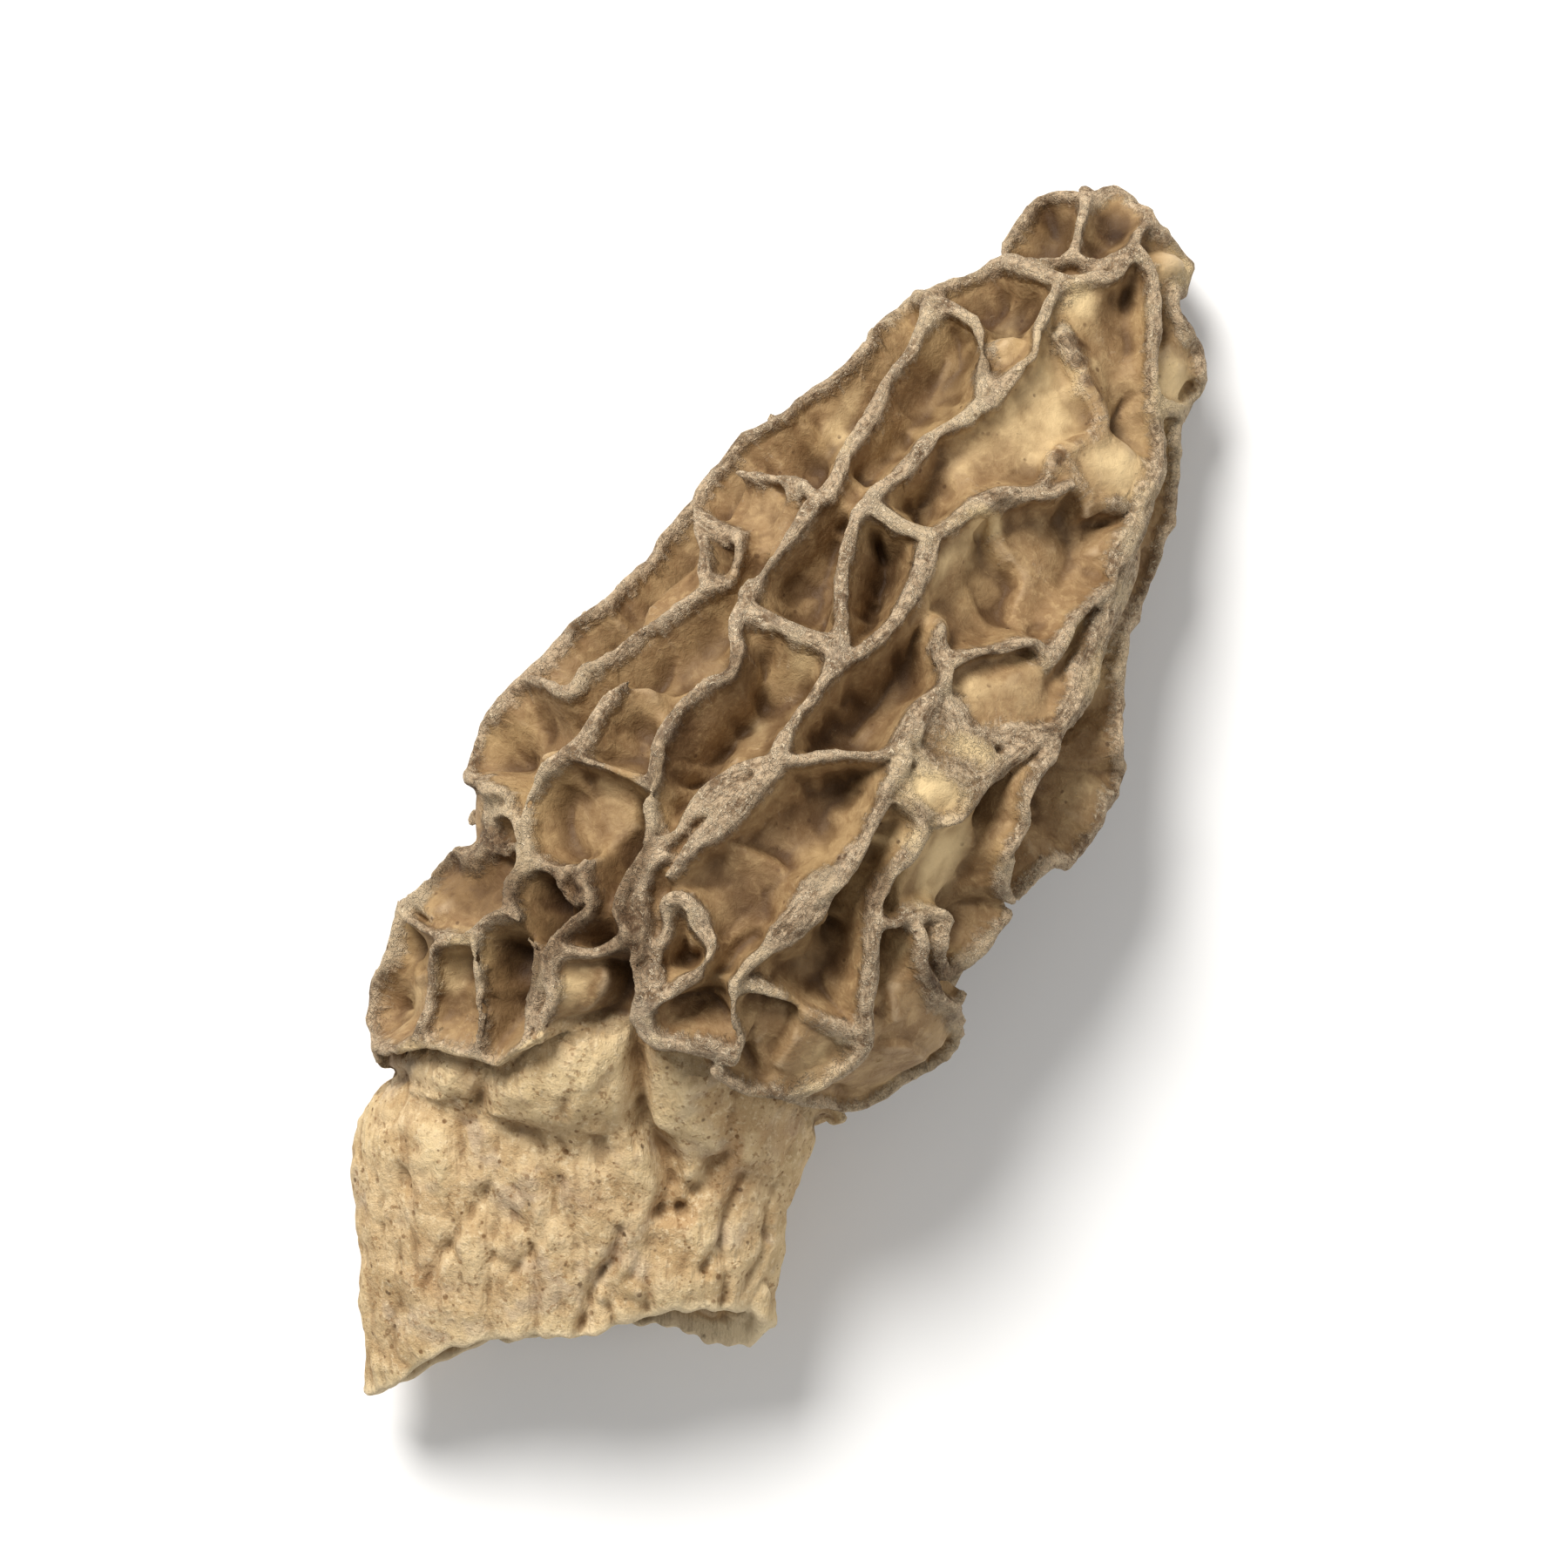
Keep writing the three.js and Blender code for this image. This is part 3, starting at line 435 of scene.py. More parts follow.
# ---------------------------------------------------------------- where the cap ends and how deep its pits are
BOUND = np.array([(-14.6, -25.6), (-14.2, -22.8), (-12, -22), (-9.2, -21.6), (-8.6, -20.4), (-7.8, -18.6), (-6, -18), (-4, -17.8), (-2.4, -17.4), (-1.9, -17.8), (0, -17.7), (2, -17.6), (4, -17), (6, -16.8), (8, -16.6)])
bt = row_through(BOUND[:, 0], BOUND[:, 1])
bphi = top_angle(BOUND[:, 0], bt)
order = np.argsort(bphi)
edge_phi = np.concatenate([[-0.4], bphi[order], [np.pi + 0.4, 2 * np.pi - 0.4]])
edge_t = np.concatenate([[6.0], bt[order], [5.9, 6.0]])
EDGE = np.interp(np.where(MPHI > 2 * np.pi - 0.4, MPHI - 2 * np.pi, MPHI), edge_phi, edge_t)
RT = table(MT)
radius = np.minimum((RT[..., 3] - RT[..., 0]) / 2, np.where(np.sin(MPHI) > 0, RT[..., 7], RT[..., 6]))
under = smooth(0.5 - 1.5 * np.sin(MPHI))
whole = np.minimum(5.0 - 1.2 * under, (0.56 - 0.12 * under) * radius)
past = S_OF_T(MT) - S_OF_T(EDGE)  # mm above the cap's lower edge
F = np.interp(MT, [4.7, 5.4, 6.0, 7.0, 8.0], [0, 0.35, 1.4, 3.4, 4.5])
F = np.minimum(F, whole)
F = F * np.interp(MT, [0, 25.4, 26.4, 27], [1, 1, 0.75, 0.4])
cap = smooth((past + 0.6) / 1.6)
warped = MP + 0.9 * np.stack([noise(MP, 3.0, 61), noise(MP, 3.0, 62), noise(MP, 3.0, 63)], -1)
pillow = np.abs(noise(warped, 4.6, 64))
pucker = np.abs(noise(warped * np.array([1.0, 0.6, 1.0]) + 7.7, 1.9, 66))
pleat = (1 - np.abs(noise(warped, 5.2, 67))) ** 7 * smooth(0.4 + noise(MP, 4.0, 65))
F = F + cap * (0.15 + 0.30 * cloud(MP, 5.0, 21, 2) - 0.34 * pillow - 0.10 * pucker - 0.28 * pleat)


def spot(x, y, rx, ry, turn=0.0):
    """1 at a point of the upper side, falling to 0 at the ellipse's edge."""
    c, s = math.cos(math.radians(turn)), math.sin(math.radians(turn))
    dx, dy = MP[..., 0] - x, MP[..., 1] - y
    r = np.hypot((dx * c + dy * s) / rx, (-dx * s + dy * c) / ry)
    return smooth(1 - r) * (np.sin(MPHI) > 0)


# thicker flesh where the lobe's edge is narrow
F = F - cap * 1.3 * smooth(1.2 - np.hypot((MP[..., 0] + 17.0) / 1.8, (MP[..., 1] + 14.1) / 1.9))
# bulges (negative) and hollows (positive)
for x, y, rx, ry, turn, dz in [(-8.6, 18.0, 2.6, 6.0, 20, -1.2), (10.9, -2.6, 1.9, 3.6, 0, -1.6), (9.9, 1.6, 1.0, 4.6, 0, 1.0), (12.6, 3.4, 1.7, 4.2, 0, -1.4)]:
    F = F + cap * dz * spot(x, y, rx, ry, turn)
# floors of single pits: x, y, radii, turn, depth there, and how it changes along x and y
total, level = np.zeros(MT.shape), np.zeros(MT.shape)
for x, y, rx, ry, turn, z0, zx, zy in [
    (2.0, 22.4, 3.6, 5.6, -20, 1.9, 0.05, -0.03), (7.0, 21.4, 2.8, 2.0, 0, 1.0, -0.04, 0.02), (4.4, 27.4, 2.0, 3.0, 20, 1.8, 0.25, 0.20),
    (1.4, 28.8, 1.3, 1.5, 15, 0.8, 0.3, 0.0), (-1.6, 26.6, 2.2, 2.4, 0, 2.6, 0.0, 0.1), (-4.2, 21.8, 2.0, 4.0, 20, 2.6, 0.0, 0.0), (-5.2, 17.0, 1.4, 3.4, 0, 2.8, 0.0, 0.0),
    (6.4, 16.2, 3.0, 3.6, 10, 2.3, -0.05, 0.05), (3.4, 11.8, 3.0, 3.2, 0, 2.6, 0.22, 0.08), (1.1, 13.0, 1.1, 2.0, -15, 1.4, 0.3, 0.0), (7.0, 8.2, 2.9, 2.0, 25, 1.05, 0.0, -0.08), (9.4, 11.8, 0.8, 2.6, 0, 1.8, 0.3, 0.0),
    (0.6, 5.4, 2.4, 4.4, -15, 3.2, -0.10, 0.0), (0.3, -2.2, 3.2, 3.2, 20, 2.8, 0.08, 0.10), (-1.4, -7.4, 3.4, 2.4, 0, 2.4, 0.0, 0.05),
    (3.6, -9.2, 2.8, 2.8, 0, 2.8, 0.12, -0.05), (-2.2, 10.6, 2.0, 3.6, 0, 4.3, 0.0, 0.1), (-4.8, 3.6, 2.4, 2.4, 0, 3.2, -0.35, 0.0),
    (-7.5, -1.6, 1.5, 4.6, 0, 4.4, -0.15, 0.0), (-4.6, 0.0, 1.4, 2.2, 0, 2.6, -0.3, 0.1), (8.0, -1.6, 1.8, 3.4, 0, 1.7, 0.2, 0.0),
    (4.6, -4.8, 1.0, 2.8, 0, 4.2, 0.0, 0.0), (4.8, -1.0, 1.3, 1.2, 0, 1.8, 0.0, -0.3), (10.6, -11.2, 3.0, 4.6, -10, 1.0, -0.15, 0.0),
    (5.4, -14.2, 2.4, 2.2, 0, 1.4, -0.25, 0.15), (0.0, -13.2, 2.0, 3.0, 10, 2.8, 0.0, 0.0), (-15.2, -13.8, 2.2, 2.4, 0, 1.8, 0.35, 0.0),
    (-16.8, -10.0, 1.5, 2.2, 20, 0.7, 0.0, 0.0), (-11.2, -12.4, 1.7, 1.6, 0, 3.6, 0.0, 0.0), (-7.9, -12.2, 1.4, 1.9, 0, 4.2, 0.0, 0.0),
    (6.0, 4.3, 2.4, 1.2, 0, 0.85, 0.0, 0.0), (4.0, 4.6, 1.0, 1.4, 0, 0.7, 0.0, 0.0), (5.7, 1.5, 2.1, 1.4, 0, 0.46, 0.0, 0.0), (10.6, -7.0, 2.0, 0.8, -20, 3.8, 0.0, 0.0), (-7.4, -16.0, 1.6, 2.0, 0, 1.8, 0.0, -0.1),
    (-14.5, -10.6, 0.9, 0.8, 0, 3.6, 0.0, 0.0), (-17.0, -14.1, 1.2, 1.5, 0, 0.5, 0.0, 0.0), (-11.0, -7.2, 2.0, 2.4, 0, 2.6, 0.0, 0.0), (-10.4, -1.8, 1.6, 2.8, 0, 2.8, 0.0, 0.0), (-15.6, -4.8, 2.0, 2.8, 0, 2.8, 0.0, 0.0),
    (-9.6, 4.4, 1.6, 4.0, -10, 2.8, 0.0, 0.0), (-10.4, 11.2, 2.0, 1.8, 0, 2.0, 0.0, 0.0), (-6.0, 9.6, 1.6, 3.0, 0, 3.2, 0.0, 0.0), (-12.6, 6.0, 1.0, 3.0, -20, 1.9, 0.0, 0.0),
    (-16.4, -19.6, 1.4, 2.8, 0, 2.2, 0.0, 0.0), (-13.4, -18.8, 1.2, 2.8, 15, 2.4, 0.0, 0.0), (-10.9, -16.8, 1.2, 3.0, 15, 3.6, 0.0, 0.0),
    (8.6, 28.6, 1.4, 2.2, 0, 1.1, 0.0, 0.0), (-4.9, -3.3, 2.4, 0.75, 58, 0.4, 0.0, 0.0), (1.3, 33.4, 1.6, 1.8, 0, 2.2, 0.0, 0.0), (-2.0, 32.0, 1.4, 2.0, 0, 2.2, 0.0, 0.0),
]:
    c, sn = math.cos(math.radians(turn)), math.sin(math.radians(turn))
    dx, dy = MP[..., 0] - x, MP[..., 1] - y
    r = np.hypot((dx * c + dy * sn) / rx, (-dx * sn + dy * c) / ry)
    w = np.exp(-r**3) * (np.sin(MPHI) > 0)
    total += w
    level += w * (z0 + 0.45 * max(0, z0 - 1.3) + zx * np.clip(dx, -3, 3) + zy * np.clip(dy, -4, 4))
own = F + cap * (level / np.maximum(total, 1e-4) + 0.10 * cloud(MP, 2.6, 73, 2) - F)
F = F + np.clip(2.4 * total, 0, 1) * smooth(np.sin(MPHI) / 0.25) * (np.minimum(own, whole) - F)


def ledge(pts, lift, reach, drop=0.0, reach_down=1.0):
    """A fold in a floor: the ground on the left of the line stands above that on its right."""
    xy = spline(pts)
    half = NP // 2 + 1
    best, signed, place = np.full((NS, half), 9.0), np.zeros((NS, half)), np.zeros((NS, half))
    for n in range(len(xy) - 1):
        ax, ay = xy[n]
        ex, ey = xy[n + 1] - xy[n]
        px, py = MP[:, :half, 0] - ax, MP[:, :half, 1] - ay
        u = np.clip((px * ex + py * ey) / max(ex * ex + ey * ey, 1e-9), 0, 1)
        d = np.hypot(px - u * ex, py - u * ey)
        new = d < best
        best = np.where(new, d, best)
        signed = np.where(new, np.sign(ex * py - ey * px), signed)
        place = np.where(new, (n + u) / (len(xy) - 1), place)
    d = best * signed
    ends = smooth(place / 0.22) * smooth((1 - place) / 0.22)
    up = smooth(0.5 + d / 0.34)
    out = np.zeros(MT.shape)
    out[:, :half] = ends * (drop * (1 - up) * np.exp(-(np.maximum(-d, 0) / reach_down) ** 1.5) - lift * up * np.exp(-(np.maximum(d, 0) / reach) ** 1.5))
    return out


for args in [
    ([(1.1, 27.2), (2, 26.1), (3.0, 25.6), (3.9, 25.2), (4.6, 24.7), (5.4, 24.0), (6.1, 23.2)], 0.75, 1.1, 0.45, 0.9),
    ([(6.3, 23.2), (5.4, 22.5), (4.7, 22.0), (4.3, 21.4), (3.9, 20.8), (3.7, 20.0), (4.1, 19.2)], 0.25, 1.6, 0.50, 0.7),
    ([(6.1, 23.2), (6.2, 23.8), (6.6, 24.3), (7.2, 24.8), (7.3, 25.6)], 0.30, 0.6, 0.10, 0.6),
    ([(2.9, 16.6), (3.4, 15.7), (4.9, 14.9), (5.8, 14.3), (6.0, 13.0), (6.6, 11.9), (7.8, 11.0)], 0.60, 1.5, 0.60, 1.3),
    ([(7.4, 18.4), (8.3, 17.2), (8.6, 16.0), (8.2, 14.4)], 0.40, 1.0, 0.25, 0.9),
    ([(1.2, -5.4), (0.0, -4.9), (-2.0, -4.9), (-3.8, -5.2)], 0.55, 1.4, 0.25, 0.8),
    ([(6.6, 11.5), (4.8, 12.2), (2.8, 13.3)], 0.22, 1.0, 0.12, 0.8),
    ([(-2.3, 16.4), (-1.6, 15.5), (-0.8, 15.1), (-0.2, 15.2)], 0.40, 0.9, 0.25, 0.6),
    ([(5.2, 20.1), (6.0, 19.7), (6.7, 19.7), (7.2, 18.9), (7.8, 19.4), (8.6, 19.9), (9.4, 19.4)], 0.10, 1.0, 1.1, 1.3),
    ([(4.5, -12.3), (4.7, -14.0), (4.3, -15.8)], 0.50, 1.2, 0.40, 0.9),
    ([(2.4, -14.8), (2.8, -13.2), (2.4, -12.0)], 0.40, 0.8, 0.20, 0.8),
    ([(-6.4, 1.0), (-6.0, 2.6), (-5.6, 4.4)], 0.00, 0.8, 0.60, 0.8),
    ([(1.2, 7.6), (1.0, 5.4), (0.4, 3.2)], 0.30, 1.2, 0.30, 1.2),
    ([(8.2, -8.0), (8.7, -9.2), (9.4, -10.6)], 0.35, 0.7, 0.40, 0.7),
    ([(12.2, -11.8), (10.6, -11.4), (8.9, -12.4)], 0.30, 1.2, 0.20, 0.8),
    ([(-10.8, 17.2), (-9.0, 16.6), (-7.4, 16.4)], 0.30, 1.2, 0.25, 0.9),
    ([(-9.4, 2.8), (-10.6, 1.4), (-11.4, 0.6)], 0.35, 1.2, 0.20, 0.8),
    ([(-5.2, 19.6), (-4.2, 19.2), (-3.2, 19.3)], 0.40, 1.1, 0.25, 0.8),
]:
    F = F + cap * ledge(*args)
F = np.where(cap > 0.5, np.maximum(F, 0.35 + 0.12 * noise(MP, 2.0, 68)), F)
# rounded swellings that stand up from a floor: x, y, radii, turn, depth of their tops, steepness
for x, y, rx, ry, turn, top, steep in [
    (5.6, 33.2, 1.3, 1.1, 0, 0.25, 0.9), (-1.45, 25.3, 1.0, 1.0, 0, 1.1, 1.0), (10.9, 15.4, 0.8, 4.2, 0, 0.5, 1.1),
]:
    c, sn = math.cos(math.radians(turn)), math.sin(math.radians(turn))
    dx, dy = MP[..., 0] - x, MP[..., 1] - y
    r2 = ((dx * c + dy * sn) / rx) ** 2 + ((-dx * sn + dy * c) / ry) ** 2
    dome = np.where(np.sin(MPHI) > 0, top + steep * r2, 9.0)
    h = np.clip(0.5 + 0.5 * (dome - F) / 0.35, 0, 1)
    F = np.where(cap > 0.3, dome + (F - dome) * h - 0.35 * h * (1 - h), F)
F = F + cap * (0.05 * noise(MP, 0.9, 71) + 0.03 * noise(MP, 0.5, 72))

# the stem's own swellings, folds and pocks
stem = 1 - smooth((past + 0.4) / 1.4)
across = 0.90 * MP[..., 0] + 0.43 * MP[..., 1]
along = np.stack([across, 0.16 * MP[..., 1] - 0.08 * MP[..., 0], 0.9 * MP[..., 2]], -1)
along = along + 0.35 * np.stack([noise(MP, 2.6, 36), 0 * across, noise(MP, 2.6, 37)], -1)
wrinkled = 0.25 + 0.75 * smooth((-past - 3.0) / 4.0)
furrow = smooth(1 - np.abs(noise(along, 2.0, 31)) / 0.34) * smooth(0.75 + noise(MP, 3.0, 38))
furrow2 = smooth(1 - np.abs(noise(along, 1.15, 32)) / 0.36) * smooth(0.6 + noise(MP, 2.0, 39))
stem_shape = wrinkled * (0.42 * furrow + 0.32 * furrow2 - 0.20) - 0.28 * cloud(MP, 5.0, 33, 2)
stem_shape += -0.12 * noise(MP, 1.0, 34) - 0.14 * noise(MP, 0.6, 35)
for x, y, rx, ry, turn, dz in [
    (-5.7, -20.8, 4.8, 3.7, 0, -1.7), (-8.0, -22.4, 2.8, 2.2, 20, -0.9), (-11.3, -23.5, 2.6, 2.2, 0, -1.1), (3.2, -24.4, 0.7, 0.7, 0, 1.1),
    (1.0, -19.2, 3.4, 2.6, -20, -1.0), (4.6, -19.6, 3.4, 2.0, 0, -0.6), (-8.4, -29.5, 3.0, 6.0, 20, -0.5),
]:
    stem_shape += dz * spot(x, y, rx, ry, turn)


def groove(pts, half, depth):
    xy = spline(pts)
    t = row_through(xy[:, 0], xy[:, 1])
    d, _, _, _ = ridge_map([(t, top_angle(xy[:, 0], t), np.full(len(t), half), np.zeros(len(t)))], 2.5, 5)
    return depth * smooth(1 - d / (half * 2.2))


stem_shape += groove([(-2.4, -18.0), (-2.3, -18.8), (-2, -19.8), (-1.2, -20.8), (0, -21.4), (1, -22), (1.9, -23.2), (2.2, -24.8)], 0.46, 1.3)
stem_shape += groove([(-9.5, -21.6), (-9.5, -22.6), (-9.2, -23.6)], 0.3, 0.45)
stem_shape += groove([(0.3, -26.6), (0.8, -28.4), (0.55, -29.8), (1.0, -32.6)], 0.24, 0.8)
stem_shape += groove([(1.8, -25.0), (2.1, -27.0), (1.9, -28.6)], 0.22, 0.4)
stem_shape += groove([(-3.6, -25.4), (-3.2, -28.0), (-3.6, -31.0)], 0.24, 0.45)
stem_shape += groove([(-6.8, -27.0), (-7.2, -30.4), (-7.8, -34.0)], 0.24, 0.4)
stem_shape += groove([(5.2, -21.4), (5.6, -24.0), (5.2, -26.6)], 0.24, 0.4)
stem_shape += groove([(3.4, -18.6), (3.6, -20.4), (3.3, -22.4), (3.2, -24.0)], 0.4, 0.5)
stem_shape += groove([(-7.0, -23.4), (-4.0, -23.4), (-2.0, -22.6)], 0.6, 0.15)
F = F + stem * stem_shape * smooth((MT + 0.4) / 0.6 + 0.4)

# ---------------------------------------------------------------- the maps that the solid is made from
rough = cloud(MP, 1.5, 41, 3, 0.65)
fine = noise(MP, 0.50, 44)
split = smooth((W1 - 0.42) / 0.2)  # wide crests are furrowed along their length
W1 = W1 * (1 + 0.50 * rough + 0.36 * noise(MP, 3.2, 45)) + 0.08 * fine + 0.11 * noise(MP, 0.9, 46)
W1 = np.maximum(W1, 0.17)
H1 = H1 + 0.42 * np.abs(cloud(MP, 3.0, 47, 2)) + 0.18 * rough + 0.09 * fine + 0.16 * np.abs(noise(MP, 0.8, 49))
H1 = H1 + split * 0.30 * smooth(0.5 + 0.5 * np.cos(2 * np.pi * D1 / 0.62 + 2.6 * noise(MP, 2.4, 48)) - 0.15)
SOFT = 0.42
sharpen = lambda m, size: np.sqrt(np.maximum(blur(m, size) ** 2 - (0.79 * size) ** 2, 0))
D1s, D2s = sharpen(D1, SOFT), sharpen(D2, 0.25)
D1 = 0.5 * D1 + 0.5 * sharpen(D1, 0.26)
W1, H1 = blur(W1, 0.12), blur(H1, 0.12)
F = blur(F, 0.10)
H2, W2 = blur(np.maximum(H2, F - 1.2), 0.4), blur(W2, 0.3)
Fs = blur(F, 1.6)
lean_s = 0.30 * noise(MP, 7.0, 51) + 0.12 * noise(MP, 2.4, 53)
lean_p = 0.34 * noise(MP, 7.0, 52) + 0.12 * noise(MP, 2.4, 54)
# no ridge stands on the stem
off = smooth((-past - 0.9) / 0.8)
D1, D1s, D2s = D1 + 3 * off, D1s + 3 * off, D2s + 3 * off
MAPS = np.stack([D1, D1s, W1, H1, D2s, W2, H2, F, Fs, lean_s, lean_p, GIRTH[:, None] + 0 * D1, past, rough, EDGE * 0 + MT, whole, L1], -1).astype(np.float32)


def look(s, phi):
    """The maps' values at s (mm from the map's start) and phi."""
    si = np.clip(s / DS, 0, NS - 1.001)
    pj = (phi / (2 * np.pi) * NP) % NP
    i, j = si.astype(np.int32), pj.astype(np.int32)
    fi, fj = (si - i).astype(np.float32)[..., None], (pj - j).astype(np.float32)[..., None]
    j = j % NP
    k = (j + 1) % NP
    return (MAPS[i, j] * (1 - fj) + MAPS[i, k] * fj) * (1 - fi) + (MAPS[i + 1, j] * (1 - fj) + MAPS[i + 1, k] * fj) * fi


def smin(a, b, k):
    h = np.clip(0.5 + 0.5 * (b - a) / k, 0, 1)
    return b + (a - b) * h - k * h * (1 - h)


def smax(a, b, k):
    return -smin(-a, -b, k)


# ---------------------------------------------------------------- nearest point of the envelope, on a coarse grid
CO = 0.5
LO, HI = np.array([-20.0, -43.0, -1.6]), np.array([17.0, 38.0, 25.2])
gx, gy, gz = (np.arange(LO[a], HI[a] + CO, CO) for a in range(3))
et = T_OF_S(np.linspace(0, arc[-1], 170))
ep = np.linspace(0, 2 * np.pi, 145)[:-1]
ET, EP = np.meshgrid(et, ep, indexing="ij")
EV = surface(ET, EP)
ne, na = EV.shape[:2]
faces = []
for i in range(ne - 1):
    a = i * na + np.arange(na)
    b = i * na + (np.arange(na) + 1) % na
    c, d = b + na, a + na
    faces.append(np.stack([a, b, c], 1))
    faces.append(np.stack([a, c, d], 1))
FT = np.concatenate(faces)
flat = EV.reshape(-1, 3)
bvh = BVHTree.FromPolygons(flat.tolist(), FT.tolist(), all_triangles=True)
X, Y, Z = np.meshgrid(gx, gy, gz, indexing="ij")
T2 = row_through(gx[:, None], gy[None, :])
R2 = table(T2)
side = (gx[:, None] - R2[..., 0]) / np.maximum(R2[..., 3] - R2[..., 0], 0.05)
zc = R2[..., 2] + (R2[..., 5] - R2[..., 2]) * np.clip(side, -0.2, 1.2)
dz = Z - zc[..., None]
b2 = np.maximum(np.where(dz > 0, R2[..., 7][..., None], R2[..., 6][..., None]), 0.05)
cc, ss = (2 * side - 1)[..., None] + 0 * dz, dz / b2
kk = np.hypot(cc, ss)
inside = (kk < 1) & (Y < 36.3)
a2 = ((R2[..., 3] - R2[..., 0]) / 2)[..., None] + 0 * dz
rough_depth = (1 - kk) * np.hypot(a2 * cc, b2 * ss) / np.maximum(kk, 1e-3)
near = (rough_depth < 9.5) & (rough_depth > -4.0)
near |= (Y > 31) | (Y < -36)
pts = np.stack([X, Y, Z], -1)[near]
hit_co, hit_ix = np.empty((len(pts), 3)), np.empty(len(pts), np.int64)
find = bvh.find_nearest
for n, p in enumerate(pts.tolist()):
    co, _, ix, _ = find(p)
    hit_co[n] = co
    hit_ix[n] = ix
tri = FT[hit_ix]
A, B, C = flat[tri[:, 0]], flat[tri[:, 1]], flat[tri[:, 2]]
v0, v1, v2 = B - A, C - A, hit_co - A
d00, d01, d11 = (v0 * v0).sum(1), (v0 * v1).sum(1), (v1 * v1).sum(1)
d20, d21 = (v2 * v0).sum(1), (v2 * v1).sum(1)
den = np.maximum(d00 * d11 - d01 * d01, 1e-12)
w1 = np.clip((d11 * d20 - d01 * d21) / den, 0, 1)
w2 = np.clip((d00 * d21 - d01 * d20) / den, 0, 1)
w0 = np.clip(1 - w1 - w2, 0, 1)
S_ = S_OF_T(ET).reshape(-1)
PH = EP.reshape(-1)
hs = w0 * S_[tri[:, 0]] + w1 * S_[tri[:, 1]] + w2 * S_[tri[:, 2]]
hc = w0 * np.cos(PH[tri[:, 0]]) + w1 * np.cos(PH[tri[:, 1]]) + w2 * np.cos(PH[tri[:, 2]])
hp = w0 * np.sin(PH[tri[:, 0]]) + w1 * np.sin(PH[tri[:, 1]]) + w2 * np.sin(PH[tri[:, 2]])
dist = np.linalg.norm(hit_co - pts, axis=1)
COARSE = np.zeros(X.shape + (4,), np.float32)
COARSE[..., 3] = np.where(inside, 9.5, -4.0)
COARSE[near] = np.stack([hs, hc, hp, np.where(inside[near], dist, -dist)], 1)


def coarse_at(p):
    """s, cos phi, sin phi and depth at any points p (mm)."""
    q = (p - LO) / CO
    i = np.clip(q.astype(int), 0, np.array(COARSE.shape[:3]) - 2)
    f = (q - i).astype(np.float32)
    out = 0
    for dx in (0, 1):
        for dy in (0, 1):
            for dw in (0, 1):
                w = (f[..., 0] if dx else 1 - f[..., 0]) * (f[..., 1] if dy else 1 - f[..., 1]) * (f[..., 2] if dw else 1 - f[..., 2])
                out = out + w[..., None] * COARSE[i[..., 0] + dx, i[..., 1] + dy, i[..., 2] + dw]
    return out


# ---------------------------------------------------------------- the cut mouth
MOUTH_TOP = np.array([(-20, -41.3), (-8.3, -41.3), (-7, -40.2), (-6.4, -38.6), (-5.4, -37), (-4, -35.6), (-3, -34.8), (-1, -33.8), (1, -32.8), (1.4, -32.4), (3, -31), (4.4, -29.8), (5.6, -28.9), (7, -28.4), (8.6, -28), (9.8, -27.8), (20, -27.8)])
MOUTH_LOW = np.array([(-20, -41.5), (-8.3, -41.5), (-7.4, -40.9), (-6.5, -39.8), (-5.0, -38.0), (-3.4, -36.0), (-1.4, -35.0), (0.6, -33.6), (2, -32.4), (3, -31.8), (4.4, -31.0), (5.6, -30.4), (7, -30.6), (8.4, -30.4), (9.6, -29.8), (10.1, -28.8), (20, -28.6)])


def mouth(x, y, sin_phi):
    top, low = np.interp(x, *MOUTH_TOP.T), np.interp(x, *MOUTH_LOW.T)
    f = smooth(0.5 + 1.1 * sin_phi)
    edge = low + (top - low) * f + 0.16 * np.sin(2.3 * x + 1.0) * np.sin(0.9 * x) + 0.10 * np.sin(5.1 * x + 2.0 * sin_phi)
    return (edge - y) * 0.85


WALL = 1.15
HOLLOW_END = S_OF_T(24.6)


